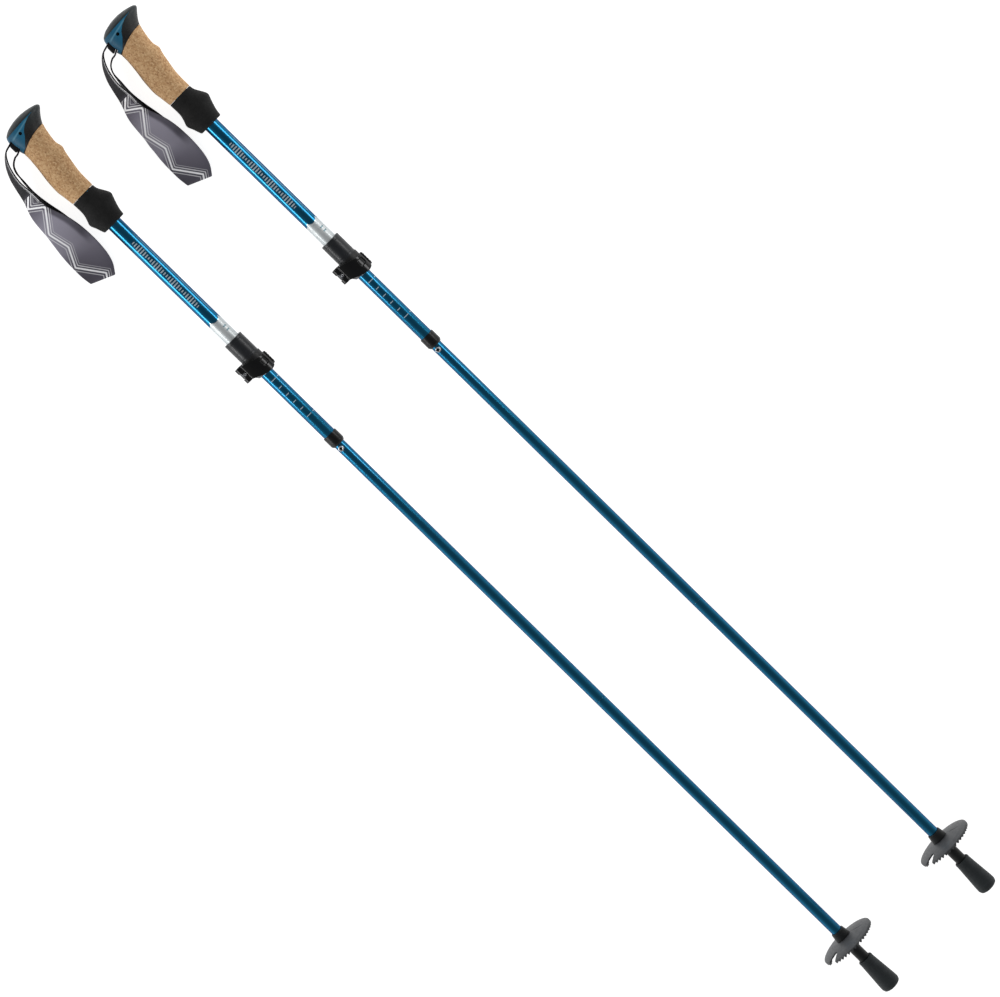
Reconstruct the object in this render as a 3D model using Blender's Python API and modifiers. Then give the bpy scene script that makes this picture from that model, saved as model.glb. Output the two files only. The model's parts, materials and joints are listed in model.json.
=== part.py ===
"""A pair of folding, adjustable trekking poles lying side by side on their flanks.

Each pole is built in its own frame: +X runs down the shaft from the head to the rubber foot,
+Y points the way the nose of the head points, and +Z is up. The shaft's axis is y = z = 0.
An empty for each pole then lays it on the floor.
"""
import math

import bmesh
import bpy
import numpy as np
from mathutils import Matrix, Vector

MM = 0.001
GAP = 0.3 * MM

# ---- the pair
POLE_SPACING = 140.3 * MM        # between the shafts, at half length
SPLAY = math.radians(0.14)       # each pole turns out by this much towards the tip
LENGTH = 1265.0 * MM             # crest of the head to the sole of the foot

# ---- shaft
UPPER_RADIUS = 8.0 * MM
UPPER_BORE = 7.3 * MM
UPPER_TOP = 29.0 * MM
UPPER_END = 346.0 * MM
MIDDLE_RADIUS = 7.0 * MM
MIDDLE_BORE = 6.4 * MM
MIDDLE_TOP = 170.0 * MM
MIDDLE_END = 448.7 * MM
LOWER_RADIUS = 6.0 * MM
LOWER_BORE = 5.4 * MM
LOWER_TOP = 402.0 * MM
FOLD_JOINT = 830.0 * MM
TIP_TUBE_END = 1188.5 * MM

# ---- head, cork and lower grip: front x, front y, rear x, rear y, half width, bow (millimetres)
HEAD_RINGS = (
    (0.15, 12.0, 0.6, 1.0, 5.0, 0.0),
    (1.2, 20.0, 2.6, -7.5, 10.5, 0.0),
    (3.4, 27.5, 5.6, -12.8, 14.0, 0.0),
    (6.2, 32.1, 9.0, -15.3, 15.6, 0.0),
    (10.0, 29.3, 14.0, -16.3, 15.9, 0.5),
    (14.6, 25.7, 20.0, -16.0, 15.6, 1.0),
    (18.6, 22.8, 26.0, -14.6, 15.0, 1.8),
    (21.5, 21.3, 30.3, -13.3, 14.5, 2.3),
)
CORK_RINGS = (
    (21.8, 21.2, 30.6, -13.3, 14.4, 2.3),
    (30.0, 19.1, 37.0, -13.2, 14.2, 1.2),
    (42.7, 17.2, 44.0, -13.8, 14.0, 0.0),
    (50.8, 18.7, 51.0, -14.6, 14.0, 0.0),
    (56.8, 17.1, 57.5, -15.6, 13.8, 0.0),
    (65.0, 15.4, 66.0, -16.8, 13.5, 0.0),
    (78.8, 13.0, 78.8, -17.5, 13.2, 0.0),
    (88.0, 12.5, 88.0, -16.4, 13.0, 0.0),
    (98.5, 12.5, 98.5, -15.2, 12.8, 0.0),
)
FLARE_RINGS = (
    (98.8, 12.5, 98.8, -15.2, 12.8, 0.0),
    (104.0, 13.2, 106.5, -14.9, 12.8, 0.0),
    (109.4, 16.2, 114.0, -15.2, 14.0, 0.0),
    (116.4, 19.8, 121.0, -17.4, 16.6, 0.0),
    (120.6, 18.8, 125.5, -18.8, 17.0, 0.0),
    (127.6, 16.2, 131.8, -16.2, 15.2, 0.0),
    (134.5, 14.2, 136.0, -14.9, 13.9, 0.0),
    (140.7, 13.4, 140.7, -13.2, 13.2, 0.0),
)
RING_POINTS = 28
GRIP_BORE = UPPER_RADIUS + GAP
SPIGOT_RADIUS = 7.0 * MM
SPIGOT_TOP = 11.0 * MM
SPIGOT_END = 62.0 * MM

# ---- side view outlines in the head (x, y in millimetres)
INLAY_TOP = ((8.0, -22.0), (7.7, -14.1), (7.2, -4.2), (6.5, 9.9), (6.3, 22.6))
INLAY_UNDER = ((7.7, 15.6), (10.4, 8.5), (14.6, 2.8), (18.8, 0.0), (23.0, -4.2), (27.2, -8.5),
               (30.2, -13.2), (34.5, -22.0))
STRAP_CAVITY = ((9.6, 3.4), (9.6, -3.0), (12.3, -22.0), (29.6, -22.0), (26.6, -16.0), (17.9, -1.4),
                (17.9, 3.4))
CAVITY_HALF_WIDTH = 10.8 * MM
WEDGE_OUTLINE = ((12.8, -5.0), (14.8, -15.5), (16.6, -18.6), (22.8, -18.6), (23.6, -16.3), (17.2, -5.2))
WEDGE_HALF_WIDTH = 9.6 * MM
PIN_X = 13.6 * MM
PIN_Y = -1.1 * MM
PIN_RADIUS = 1.6 * MM
PIN_HALF_LENGTH = 14.2 * MM

# ---- strap
STRAP_THICKNESS = 1.5 * MM
# x, y, z, width (millimetres), lean of the band from upright, turn of the band in plan (degrees)
STRAP_OUT = (
    (14.2, -18.4, 0.0, 20.0, 0.0, 0.0),
    (17.2, -26.0, 0.0, 20.0, 5.0, 10.0),
    (25.8, -32.8, 0.0, 20.0, 12.0, 20.0),
    (36.9, -37.5, 0.0, 20.5, 18.0, 10.0),
    (48.1, -40.0, 0.0, 22.0, 22.0, 0.0),
    (63.4, -41.4, 0.0, 25.0, 32.0, 0.0),
    (81.6, -44.4, -1.0, 26.0, 50.0, 0.0),
    (106.7, -41.9, -3.0, 34.0, 65.0, 0.0),
    (131.8, -42.3, -4.5, 37.0, 84.0, 0.0),
    (150.0, -43.2, -6.0, 36.6, 88.0, 8.0),
    (161.0, -44.8, -7.2, 34.0, 90.0, 16.0),
    (168.5, -47.0, -9.2, 29.0, 90.0, 22.0),
)
STRAP_FOLD = (171.2, -47.8, -12.7, 26.5, 90.0, 24.0)
STRAP_BACK = (
    (168.5, -47.0, -16.0, 28.0, 90.0, 22.0),
    (161.0, -44.8, -16.9, 32.0, 90.0, 16.0),
    (150.0, -43.2, -16.8, 35.0, 90.0, 8.0),
    (131.8, -42.3, -16.0, 35.5, 88.0, 0.0),
    (106.7, -42.3, -12.6, 31.0, 78.0, 0.0),
    (81.6, -38.5, -6.0, 25.0, 36.0, 0.0),
    (63.4, -35.0, -4.0, 23.0, 8.0, 0.0),
    (48.1, -33.4, -3.0, 21.5, 4.0, 0.0),
    (37.5, -32.0, -1.0, 20.0, 0.0, 0.0),
    (30.6, -28.6, 0.0, 20.0, 0.0, 0.0),
    (26.4, -22.5, 0.0, 20.0, 0.0, 0.0),
    (25.0, -16.4, 0.0, 20.0, 0.0, 0.0),
)
STRAP_STEPS = 3

# ---- clamp
SLEEVE_TOP = 304.9 * MM
SLEEVE_RADIUS = 11.0 * MM
BAND_TOP = 329.5 * MM
BAND_RADIUS = 11.7 * MM
BAND_END = 352.0 * MM
WALL_MIDDLE = 9.6 * MM           # inside the band's wall, where the ears and the lug join it
EAR_FROM, EAR_TO = 329.5 * MM, 346.0 * MM
EAR_REACH = 19.6 * MM
EAR_LOW, EAR_HIGH = -8.4 * MM, 2.0 * MM
SLIT_LOW, SLIT_HIGH = -3.6 * MM, -2.6 * MM
LUG_FROM, LUG_TO = 335.5 * MM, 351.0 * MM
LUG_REACH = 14.2 * MM
LUG_HALF_HEIGHT = 6.0 * MM
PIVOT_Y, PIVOT_Z = -16.6 * MM, 7.2 * MM
PIVOT_RADIUS = 2.4 * MM
CHEEK_RADIUS = 4.7 * MM
CHEEK_FROM, CHEEK_TO = 328.6 * MM, 346.6 * MM
SCREW_X = 338.0 * MM
SCREW_RADIUS = 1.5 * MM
SCREW_HEAD_RADIUS = 3.1 * MM
SCREW_TOP = 10.4 * MM
FORK_HALF_GAP = 3.3 * MM
# lever arm: angle round the shaft (degrees), inner and outer radius, upper and lower edge (mm)
LEVER_ARM = (
    (152.0, 13.2, 19.5, 329.2, 346.2),
    (140.0, 12.5, 18.2, 329.6, 346.8),
    (125.0, 12.5, 16.6, 330.4, 348.6),
    (110.0, 12.5, 15.6, 331.4, 350.6),
    (95.0, 12.5, 15.2, 332.6, 351.8),
    (80.0, 12.5, 15.0, 333.9, 352.8),
    (65.0, 12.5, 14.9, 335.4, 353.6),
    (50.0, 12.5, 14.8, 337.6, 354.2),
    (38.0, 12.6, 14.2, 340.4, 354.0),
)

# ---- collar, button and spring
COLLAR_TOP, COLLAR_END = 441.0 * MM, 454.9 * MM
COLLAR_RADIUS = 8.2 * MM
BUTTON_X = 459.3 * MM
BUTTON_LEAN = math.radians(17.0)
BUTTON_RADIUS = 2.9 * MM
BUTTON_TOP = 8.0 * MM
BUTTON_FLANGE_RADIUS = 3.4 * MM
SPRING_HALF_WIDTH = 2.7 * MM
SPRING_THICKNESS = 0.4 * MM

# ---- tip
HUB_TOP, HUB_END = 1180.5 * MM, 1190.0 * MM
SHANK_RADIUS = 6.2 * MM
SHANK_END = 1233.0 * MM
BASKET_RADIUS = 32.0 * MM
BASKET_TEETH = 44
BASKET_BORE = SHANK_RADIUS + GAP
FOOT_TOP = 1222.5 * MM
FOOT_RADIUS = 11.1 * MM

TURN_SEGMENTS = 24

MATERIALS = {
    "black_plastic": ((0.012, 0.012, 0.013), 0.45, 0.0),
    "blue_plastic": ((0.012, 0.13, 0.25), 0.3, 0.0),
    "cork": ((0.50, 0.29, 0.13), 0.85, 0.0),
    "foam": ((0.010, 0.011, 0.011), 0.8, 0.0),
    "webbing": ((0.045, 0.042, 0.055), 0.75, 0.0),
    "blue_anodised": ((0.006, 0.10, 0.25), 0.25, 1.0),
    "sleeve_plastic": ((0.028, 0.033, 0.038), 0.45, 0.0),
    "chrome": ((0.75, 0.76, 0.78), 0.12, 1.0),
    "spring_steel": ((0.45, 0.46, 0.47), 0.3, 1.0),
    "white_plastic": ((0.7, 0.7, 0.68), 0.4, 0.0),
    "cord": ((0.03, 0.03, 0.03), 0.8, 0.0),
    "carbide": ((0.25, 0.25, 0.26), 0.35, 1.0),
    "grey_plastic": ((0.055, 0.057, 0.06), 0.5, 0.0),
    "rubber": ((0.028, 0.032, 0.034), 0.75, 0.0),
}


def clear_scene():
    """Remove whatever the file holds, so that the script starts from nothing."""
    for obj in list(bpy.data.objects):
        bpy.data.objects.remove(obj, do_unlink=True)
    for collection in list(bpy.data.collections):
        bpy.data.collections.remove(collection)


def make_material(name, color, roughness, metallic):
    """One Principled material of a single finish."""
    material = bpy.data.materials.new(name)
    material.use_nodes = True
    shader = material.node_tree.nodes["Principled BSDF"]
    shader.inputs["Base Color"].default_value = (*color, 1.0)
    shader.inputs["Roughness"].default_value = roughness
    shader.inputs["Metallic"].default_value = metallic
    return material


class Workshop:
    """Holds the two collections, the materials and the pole that is being built."""

    def __init__(self):
        self.parts = bpy.data.collections.new("trekking_poles")
        self.cutters = bpy.data.collections.new("cutters")
        for collection in (self.parts, self.cutters):
            bpy.context.scene.collection.children.link(collection)
        self.materials = {name: make_material(name, *look) for name, look in MATERIALS.items()}
        self.side = ""
        self.pole = None

    def place(self, name, mesh, location, material, rotation=(0.0, 0.0, 0.0), parent=None):
        """A sub-part of the current pole, at its place in the pole's frame."""
        obj = bpy.data.objects.new(f"{self.side}_{name}", mesh)
        self.parts.objects.link(obj)
        obj.parent = parent or self.pole
        obj.location = location
        obj.rotation_euler = rotation
        if not mesh.materials:
            mesh.materials.append(self.materials[material])
        return obj

    def place_cutter(self, name, mesh, location, rotation=(0.0, 0.0, 0.0), parent=None):
        """A body that only cuts others; it isn't a part."""
        obj = bpy.data.objects.new(f"{self.side}_{name}", mesh)
        self.cutters.objects.link(obj)
        obj.parent = parent or self.pole
        obj.location = location
        obj.rotation_euler = rotation
        obj.hide_render = True
        obj.display_type = "WIRE"
        return obj

    def empty(self, name, location, rotation=(0.0, 0.0, 0.0), parent=None):
        obj = bpy.data.objects.new(f"{self.side}_{name}", None)
        self.parts.objects.link(obj)
        obj.parent = parent or self.pole
        obj.location = location
        obj.rotation_euler = rotation
        return obj


def smooth(mesh, degrees=35.0):
    mesh.shade_smooth()
    mesh.set_sharp_from_angle(angle=math.radians(degrees))
    return mesh


def baked(obj):
    """Give an object the mesh that its modifiers or its curve make, and return that mesh."""
    bpy.context.view_layer.update()
    evaluated = obj.evaluated_get(bpy.context.evaluated_depsgraph_get())
    mesh = bpy.data.meshes.new_from_object(evaluated)
    bpy.data.objects.remove(obj, do_unlink=True)
    welding = bmesh.new()
    welding.from_mesh(mesh)
    bmesh.ops.remove_doubles(welding, verts=welding.verts, dist=0.00001)
    welding.to_mesh(mesh)
    welding.free()
    return smooth(mesh)


def turned_mesh(name, outer, bore=None, segments=TURN_SEGMENTS):
    """A turned body about local Z.

    outer and bore are lists of (height, radius) from the lower end to the upper end. Without a
    bore the body is solid. A bore whose last radius is 0 is blind.
    """
    path = list(reversed(outer))
    blind = bore is None or bore[-1][1] == 0.0
    if blind:
        path.insert(0, (outer[-1][0], 0.0))
    path += bore or [(outer[0][0], 0.0)]
    mesh = bpy.data.meshes.new(name + "_profile")
    corners = [(radius, 0.0, height) for height, radius in path]
    edges = [(i, i + 1) for i in range(len(corners) - 1)]
    if not blind:
        edges.append((len(corners) - 1, 0))
    mesh.from_pydata(corners, edges, [])
    obj = bpy.data.objects.new(name + "_profile", mesh)
    bpy.context.scene.collection.objects.link(obj)
    screw = obj.modifiers.new("turn", "SCREW")
    screw.axis = "Z"
    screw.steps = screw.render_steps = segments
    screw.use_merge_vertices = True
    screw.merge_threshold = 0.00001
    return baked(obj)


ALONG_SHAFT = (0.0, math.radians(90.0), 0.0)      # turns local Z into the pole's +X


def turned(shop, name, material, outer, bore=None, segments=TURN_SEGMENTS):
    """A turned part on the shaft's axis; heights are distances along the shaft."""
    start = outer[0][0]
    shifted_outer = [(x - start, radius) for x, radius in outer]
    shifted_bore = None if bore is None else [(x - start, radius) for x, radius in bore]
    mesh = turned_mesh(name, shifted_outer, shifted_bore, segments)
    return shop.place(name, mesh, (start, 0.0, 0.0), material, ALONG_SHAFT)


def box_mesh(name, low, high):
    """A box between two corners, from a unit cube."""
    low, high = Vector(low), Vector(high)
    mesh = bpy.data.meshes.new(name)
    cube = bmesh.new()
    bmesh.ops.create_cube(cube, size=1.0)
    bmesh.ops.scale(cube, vec=high - low, verts=cube.verts)
    bmesh.ops.translate(cube, vec=(low + high) / 2.0, verts=cube.verts)
    cube.to_mesh(mesh)
    cube.free()
    return mesh


def cylinder_mesh(name, radius, start, end, segments=TURN_SEGMENTS):
    """A cylinder about local Z from start to end."""
    mesh = bpy.data.meshes.new(name)
    body = bmesh.new()
    bmesh.ops.create_cone(body, cap_ends=True, segments=segments, radius1=radius, radius2=radius,
                          depth=end - start)
    bmesh.ops.translate(body, vec=(0.0, 0.0, (start + end) / 2.0), verts=body.verts)
    body.to_mesh(mesh)
    body.free()
    return smooth(mesh)


def outline_mesh(name, corners_mm, half_thickness):
    """A flat outline in the x-y plane, given in millimetres, thickened both ways along z."""
    curve = bpy.data.curves.new(name, "CURVE")
    curve.dimensions = "2D"
    curve.fill_mode = "BOTH"
    curve.extrude = half_thickness
    spline = curve.splines.new("POLY")
    spline.points.add(len(corners_mm) - 1)
    for point, (x, y) in zip(spline.points, corners_mm):
        point.co = (x * MM, y * MM, 0.0, 1.0)
    spline.use_cyclic_u = True
    obj = bpy.data.objects.new(name, curve)
    bpy.context.scene.collection.objects.link(obj)
    return baked(obj)


def cut(obj, cutter, operation="DIFFERENCE"):
    modifier = obj.modifiers.new(f"{operation.lower()}_{cutter.name}", "BOOLEAN")
    modifier.operation = operation
    modifier.solver = "EXACT"
    modifier.object = cutter
    return obj


# ---------------------------------------------------------------- grip

def ring_surface(ring, y):
    """Distance down the shaft of the curved slice through a ring, at the height y."""
    front_x, front_y, rear_x, rear_y, _, bow = ring
    middle_y = (front_y + rear_y) / 2.0
    share = (y - middle_y) / ((front_y - rear_y) / 2.0)
    return (front_x + rear_x) / 2.0 + share * (front_x - rear_x) / 2.0 - bow * (1.0 - share ** 2)


def ring_points(ring, radius=None):
    """Points round the grip: an ellipse in y and z, or a circle of a bore on the same slice."""
    angles = 2.0 * math.pi * np.arange(RING_POINTS) / RING_POINTS
    if radius is None:
        y = (ring[1] + ring[3]) / 2.0 + (ring[1] - ring[3]) / 2.0 * np.cos(angles)
        z = ring[4] * np.sin(angles)
    else:
        y = radius / MM * np.cos(angles)
        z = radius / MM * np.sin(angles)
    return np.column_stack((ring_surface(ring, y), y, z)) * MM


def joined_rings(name, loops, closed):
    """A body from loops of points. Loops run so that faces point out; closed joins last to first."""
    count = len(loops[0])
    body = bmesh.new()
    rows = [[body.verts.new(tuple(point)) for point in loop] for loop in loops]
    pairs = list(zip(rows, rows[1:]))
    if closed:
        pairs.append((rows[-1], rows[0]))
    for first, second in pairs:
        for i in range(count):
            j = (i + 1) % count
            body.faces.new((first[i], first[j], second[j], second[i]))
    if not closed:
        body.faces.new(rows[-1])
        body.faces.new(list(reversed(rows[0])))
    bmesh.ops.recalc_face_normals(body, faces=body.faces)
    mesh = bpy.data.meshes.new(name)
    body.to_mesh(mesh)
    body.free()
    return smooth(mesh)


def hollow_grip(name, rings):
    """A grip section with a bore for the upper tube."""
    outer = [ring_points(ring) for ring in rings]
    inner = [ring_points(rings[-1], GRIP_BORE), ring_points(rings[0], GRIP_BORE)]
    return joined_rings(name, outer + inner, closed=True)


def head_blank(name):
    """The whole head before the core is parted from it."""
    loops = [ring_points(ring) for ring in HEAD_RINGS]
    loops.append(ring_points(HEAD_RINGS[-1], GRIP_BORE))
    return joined_rings(name, loops, closed=False)


def grown(corners, step):
    """The same outline, its corners moved out by step along the mean of the sides' normals."""
    points = np.array(corners, dtype=float)
    sides = np.roll(points, -1, axis=0) - points
    normals = np.column_stack((sides[:, 1], -sides[:, 0]))
    normals /= np.linalg.norm(normals, axis=1)[:, None]
    area = np.sum(points[:, 0] * np.roll(points[:, 1], -1) - np.roll(points[:, 0], -1) * points[:, 1])
    before = np.roll(normals, 1, axis=0)
    mean = normals + before
    mean /= (mean * normals).sum(axis=1)[:, None]
    return points + math.copysign(step, area) * mean


def make_head(shop):
    """The black cap and the blue core with its spigot, both cut from one blank."""
    inlay = INLAY_TOP + INLAY_UNDER
    deep = 30.0 * MM
    region = shop.place_cutter("inlay_region", outline_mesh("inlay", inlay, deep), (0, 0, 0))
    wide_region = shop.place_cutter("inlay_gap", outline_mesh("gap", grown(inlay, GAP / MM), deep), (0, 0, 0))
    cavity = shop.place_cutter("strap_cavity", outline_mesh("cavity", STRAP_CAVITY, CAVITY_HALF_WIDTH),
                               (0, 0, 0))
    spigot = shop.place_cutter("spigot", cylinder_mesh("spigot", SPIGOT_RADIUS, 0.0, SPIGOT_END - SPIGOT_TOP),
                               (SPIGOT_TOP, 0, 0), ALONG_SHAFT)
    socket = cylinder_mesh("socket", SPIGOT_RADIUS + GAP, -GAP, SPIGOT_END - SPIGOT_TOP)
    socket = shop.place_cutter("spigot_socket", socket, (SPIGOT_TOP, 0, 0), ALONG_SHAFT)
    pin_hole = cylinder_mesh("pin_hole", PIN_RADIUS + GAP, -deep, deep, 16)
    pin_hole = shop.place_cutter("pin_hole", pin_hole, (PIN_X, PIN_Y, 0))

    cap = shop.place("grip_cap", head_blank("cap"), (0, 0, 0), "black_plastic")
    for cutter in (wide_region, socket, cavity):
        cut(cap, cutter)
    core = shop.place("grip_core", head_blank("core"), (0, 0, 0), "blue_plastic")
    cut(core, region, "INTERSECT")
    cut(core, spigot, "UNION")
    for cutter in (cavity, pin_hole):
        cut(core, cutter)

    pin = cylinder_mesh("strap_pin", PIN_RADIUS, -PIN_HALF_LENGTH, PIN_HALF_LENGTH, 16)
    shop.place("strap_pin", pin, (PIN_X, PIN_Y, 0), "spring_steel")
    wedge = shop.place("strap_wedge", outline_mesh("strap_wedge", WEDGE_OUTLINE, WEDGE_HALF_WIDTH),
                       (0, 0, 0), "black_plastic")
    edges = wedge.modifiers.new("soft_edges", "BEVEL")
    edges.width = 0.4 * MM
    edges.segments = 1


def make_grip(shop):
    shop.place("cork_grip", hollow_grip("cork_grip", CORK_RINGS), (0, 0, 0), "cork")
    shop.place("grip_flare", hollow_grip("grip_flare", FLARE_RINGS), (0, 0, 0), "foam")


def smooth_path(stations, steps):
    """A closed Catmull-Rom curve through every station, with steps pieces for each."""
    points = np.array(stations, dtype=float)
    before, after, beyond = np.roll(points, 1, axis=0), np.roll(points, -1, axis=0), np.roll(points, -2, axis=0)
    rows = []
    for step in range(steps):
        t = step / steps
        rows.append(0.5 * (2.0 * points + (after - before) * t
                           + (2.0 * before - 5.0 * points + 4.0 * after - beyond) * t ** 2
                           + (3.0 * points - before - 3.0 * after + beyond) * t ** 3))
    return np.stack(rows, axis=1).reshape(-1, points.shape[1])


def make_strap(shop):
    """One closed band of webbing that runs round the pin and out past both sides of the wedge."""
    radius = (PIN_RADIUS + GAP) / MM + STRAP_THICKNESS / MM / 2.0 + 0.3
    round_pin = []
    for degrees in (105.0, 60.0, 10.0, -40.0, -85.0):
        angle = math.radians(degrees)
        round_pin.append((PIN_X / MM + radius * math.sin(angle), PIN_Y / MM + radius * math.cos(angle),
                          0.0, 20.0, 0.0, 0.0))
    stations = list(STRAP_OUT) + [STRAP_FOLD] + list(STRAP_BACK) + round_pin
    path = smooth_path(stations, STRAP_STEPS)
    centre = path[:, :3]
    lean, turn = np.radians(path[:, 4]), np.radians(path[:, 5])
    across = np.column_stack((np.sin(lean) * np.sin(turn), np.sin(lean) * np.cos(turn), np.cos(lean)))
    along = np.roll(centre, -1, axis=0) - np.roll(centre, 1, axis=0)
    normal = np.cross(along, across)
    normal /= np.linalg.norm(normal, axis=1)[:, None]
    half = path[:, 3:4] / 2.0
    skin = STRAP_THICKNESS / MM / 2.0
    loops = [
        [c + a * h + n * skin, c + a * h - n * skin, c - a * h - n * skin, c - a * h + n * skin]
        for c, a, h, n in zip(centre, across, half, normal)
    ]
    loops = [[tuple(point * MM) for point in loop] for loop in loops]
    shop.place("wrist_strap", joined_rings("wrist_strap", loops, closed=True), (0, 0, 0), "webbing")


# ---------------------------------------------------------------- clamp

def make_clamp(shop):
    outer = [(SLEEVE_TOP, SLEEVE_RADIUS), (BAND_TOP, SLEEVE_RADIUS), (BAND_TOP, BAND_RADIUS),
             (BAND_END, BAND_RADIUS)]
    bore = [(SLEEVE_TOP, GRIP_BORE), (UPPER_END + GAP, GRIP_BORE), (UPPER_END + GAP, UPPER_BORE),
            (BAND_END, UPPER_BORE)]
    body = turned(shop, "clamp_body", "sleeve_plastic", outer, bore)
    ears = box_mesh("ears", (EAR_FROM, -EAR_REACH, EAR_LOW), (EAR_TO, -WALL_MIDDLE, EAR_HIGH))
    lug = box_mesh("lug", (LUG_FROM, WALL_MIDDLE, -LUG_HALF_HEIGHT), (LUG_TO, LUG_REACH, LUG_HALF_HEIGHT))
    slit = box_mesh("slit", (BAND_TOP - 6.0 * MM, -30.0 * MM, SLIT_LOW), (BAND_END + MM, -3.0 * MM, SLIT_HIGH))
    cut(body, shop.place_cutter("clamp_ears", ears, (0, 0, 0)), "UNION")
    cut(body, shop.place_cutter("clamp_lug", lug, (0, 0, 0)), "UNION")
    cut(body, shop.place_cutter("clamp_slit", slit, (0, 0, 0)))
    screw_hole = cylinder_mesh("screw_hole", SCREW_RADIUS + GAP, -30.0 * MM, 30.0 * MM, 16)
    screw_hole = shop.place_cutter("screw_hole", screw_hole, (SCREW_X, PIVOT_Y, 0))
    cut(body, screw_hole)

    pin = cylinder_mesh("lever_pin", PIVOT_RADIUS, -8.0 * MM, 8.0 * MM, 20)
    pin = shop.place("lever_pin", pin, (SCREW_X - 0.4 * MM, PIVOT_Y, PIVOT_Z), "chrome", ALONG_SHAFT)
    cut(pin, screw_hole)

    head = EAR_LOW - GAP
    profile = [(head - 2.8 * MM, SCREW_HEAD_RADIUS), (head, SCREW_HEAD_RADIUS), (head, SCREW_RADIUS),
               (SCREW_TOP, SCREW_RADIUS)]
    shop.place("tension_screw", turned_mesh("tension_screw", profile, None, 16), (SCREW_X, PIVOT_Y, 0), "chrome")


def make_lever(shop):
    """Fork with two cheeks round the pin, and an arm that wraps over the shaft and slants down."""
    pivot = shop.empty("lever_pivot", (SCREW_X, PIVOT_Y, PIVOT_Z))
    home = Vector((SCREW_X, PIVOT_Y, PIVOT_Z))
    loops = []
    for degrees, inner, outer, upper, lower in LEVER_ARM:
        angle = math.radians(degrees)
        direction = Vector((0.0, math.cos(angle), math.sin(angle)))
        loop = [direction * (radius * MM) + Vector((x * MM, 0.0, 0.0)) - home
                for radius, x in ((inner, upper), (outer, upper), (outer, lower), (inner, lower))]
        loops.append(loop)
    arm = shop.place("clamp_lever", joined_rings("clamp_lever", loops, closed=False), (0, 0, 0),
                     "black_plastic", parent=pivot)
    cheeks = cylinder_mesh("cheeks", CHEEK_RADIUS, CHEEK_FROM - SCREW_X, CHEEK_TO - SCREW_X, 24)
    cut(arm, shop.place_cutter("lever_cheeks", cheeks, (0, 0, 0), ALONG_SHAFT, pivot), "UNION")
    pin_bore = cylinder_mesh("lever_bore", PIVOT_RADIUS + GAP, -20.0 * MM, 20.0 * MM, 20)
    cut(arm, shop.place_cutter("lever_bore", pin_bore, (0, 0, 0), ALONG_SHAFT, pivot))
    fork = box_mesh("fork", (-FORK_HALF_GAP, -9.0 * MM, -9.0 * MM), (FORK_HALF_GAP, 3.6 * MM, 12.0 * MM))
    cut(arm, shop.place_cutter("lever_fork", fork, (0, 0, 0), parent=pivot))


# ---------------------------------------------------------------- shaft

def make_shaft(shop):
    def tube(name, start, end, radius, bore):
        return turned(shop, name, "blue_anodised", [(start, radius), (end, radius)],
                      [(start, bore), (end, bore)])

    tube("upper_tube", UPPER_TOP, UPPER_END, UPPER_RADIUS, UPPER_BORE)
    tube("middle_tube", MIDDLE_TOP, MIDDLE_END, MIDDLE_RADIUS, MIDDLE_BORE)
    lower = tube("lower_tube", LOWER_TOP, FOLD_JOINT - GAP / 2.0, LOWER_RADIUS, LOWER_BORE)
    tube("tip_tube", FOLD_JOINT + GAP / 2.0, TIP_TUBE_END, LOWER_RADIUS, LOWER_BORE)

    bush_face = MIDDLE_TOP - GAP
    turned(shop, "guide_bush", "white_plastic",
           [(bush_face - 5.0 * MM, 7.0 * MM), (bush_face, 7.0 * MM), (bush_face, 6.1 * MM),
            (bush_face + 10.0 * MM, 6.1 * MM)],
           [(bush_face - 5.0 * MM, 4.6 * MM), (bush_face + 10.0 * MM, 4.6 * MM)])
    chamfer = 1.4 * MM
    turned(shop, "middle_collar", "black_plastic",
           [(COLLAR_TOP, COLLAR_RADIUS), (COLLAR_END - 2.2 * MM, COLLAR_RADIUS),
            (COLLAR_END, COLLAR_RADIUS - chamfer)],
           [(COLLAR_TOP, MIDDLE_RADIUS + GAP), (MIDDLE_END + GAP, MIDDLE_RADIUS + GAP),
            (MIDDLE_END + GAP, LOWER_RADIUS + GAP), (COLLAR_END, LOWER_RADIUS + GAP)])
    turned(shop, "tube_ferrule", "spring_steel",
           [(FOLD_JOINT - 38.0 * MM, 4.2 * MM), (FOLD_JOINT - 34.0 * MM, 5.1 * MM),
            (FOLD_JOINT + 38.0 * MM, 5.1 * MM)],
           [(FOLD_JOINT - 38.0 * MM, 3.2 * MM), (FOLD_JOINT + 38.0 * MM, 3.2 * MM)], 24)
    return lower


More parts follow.
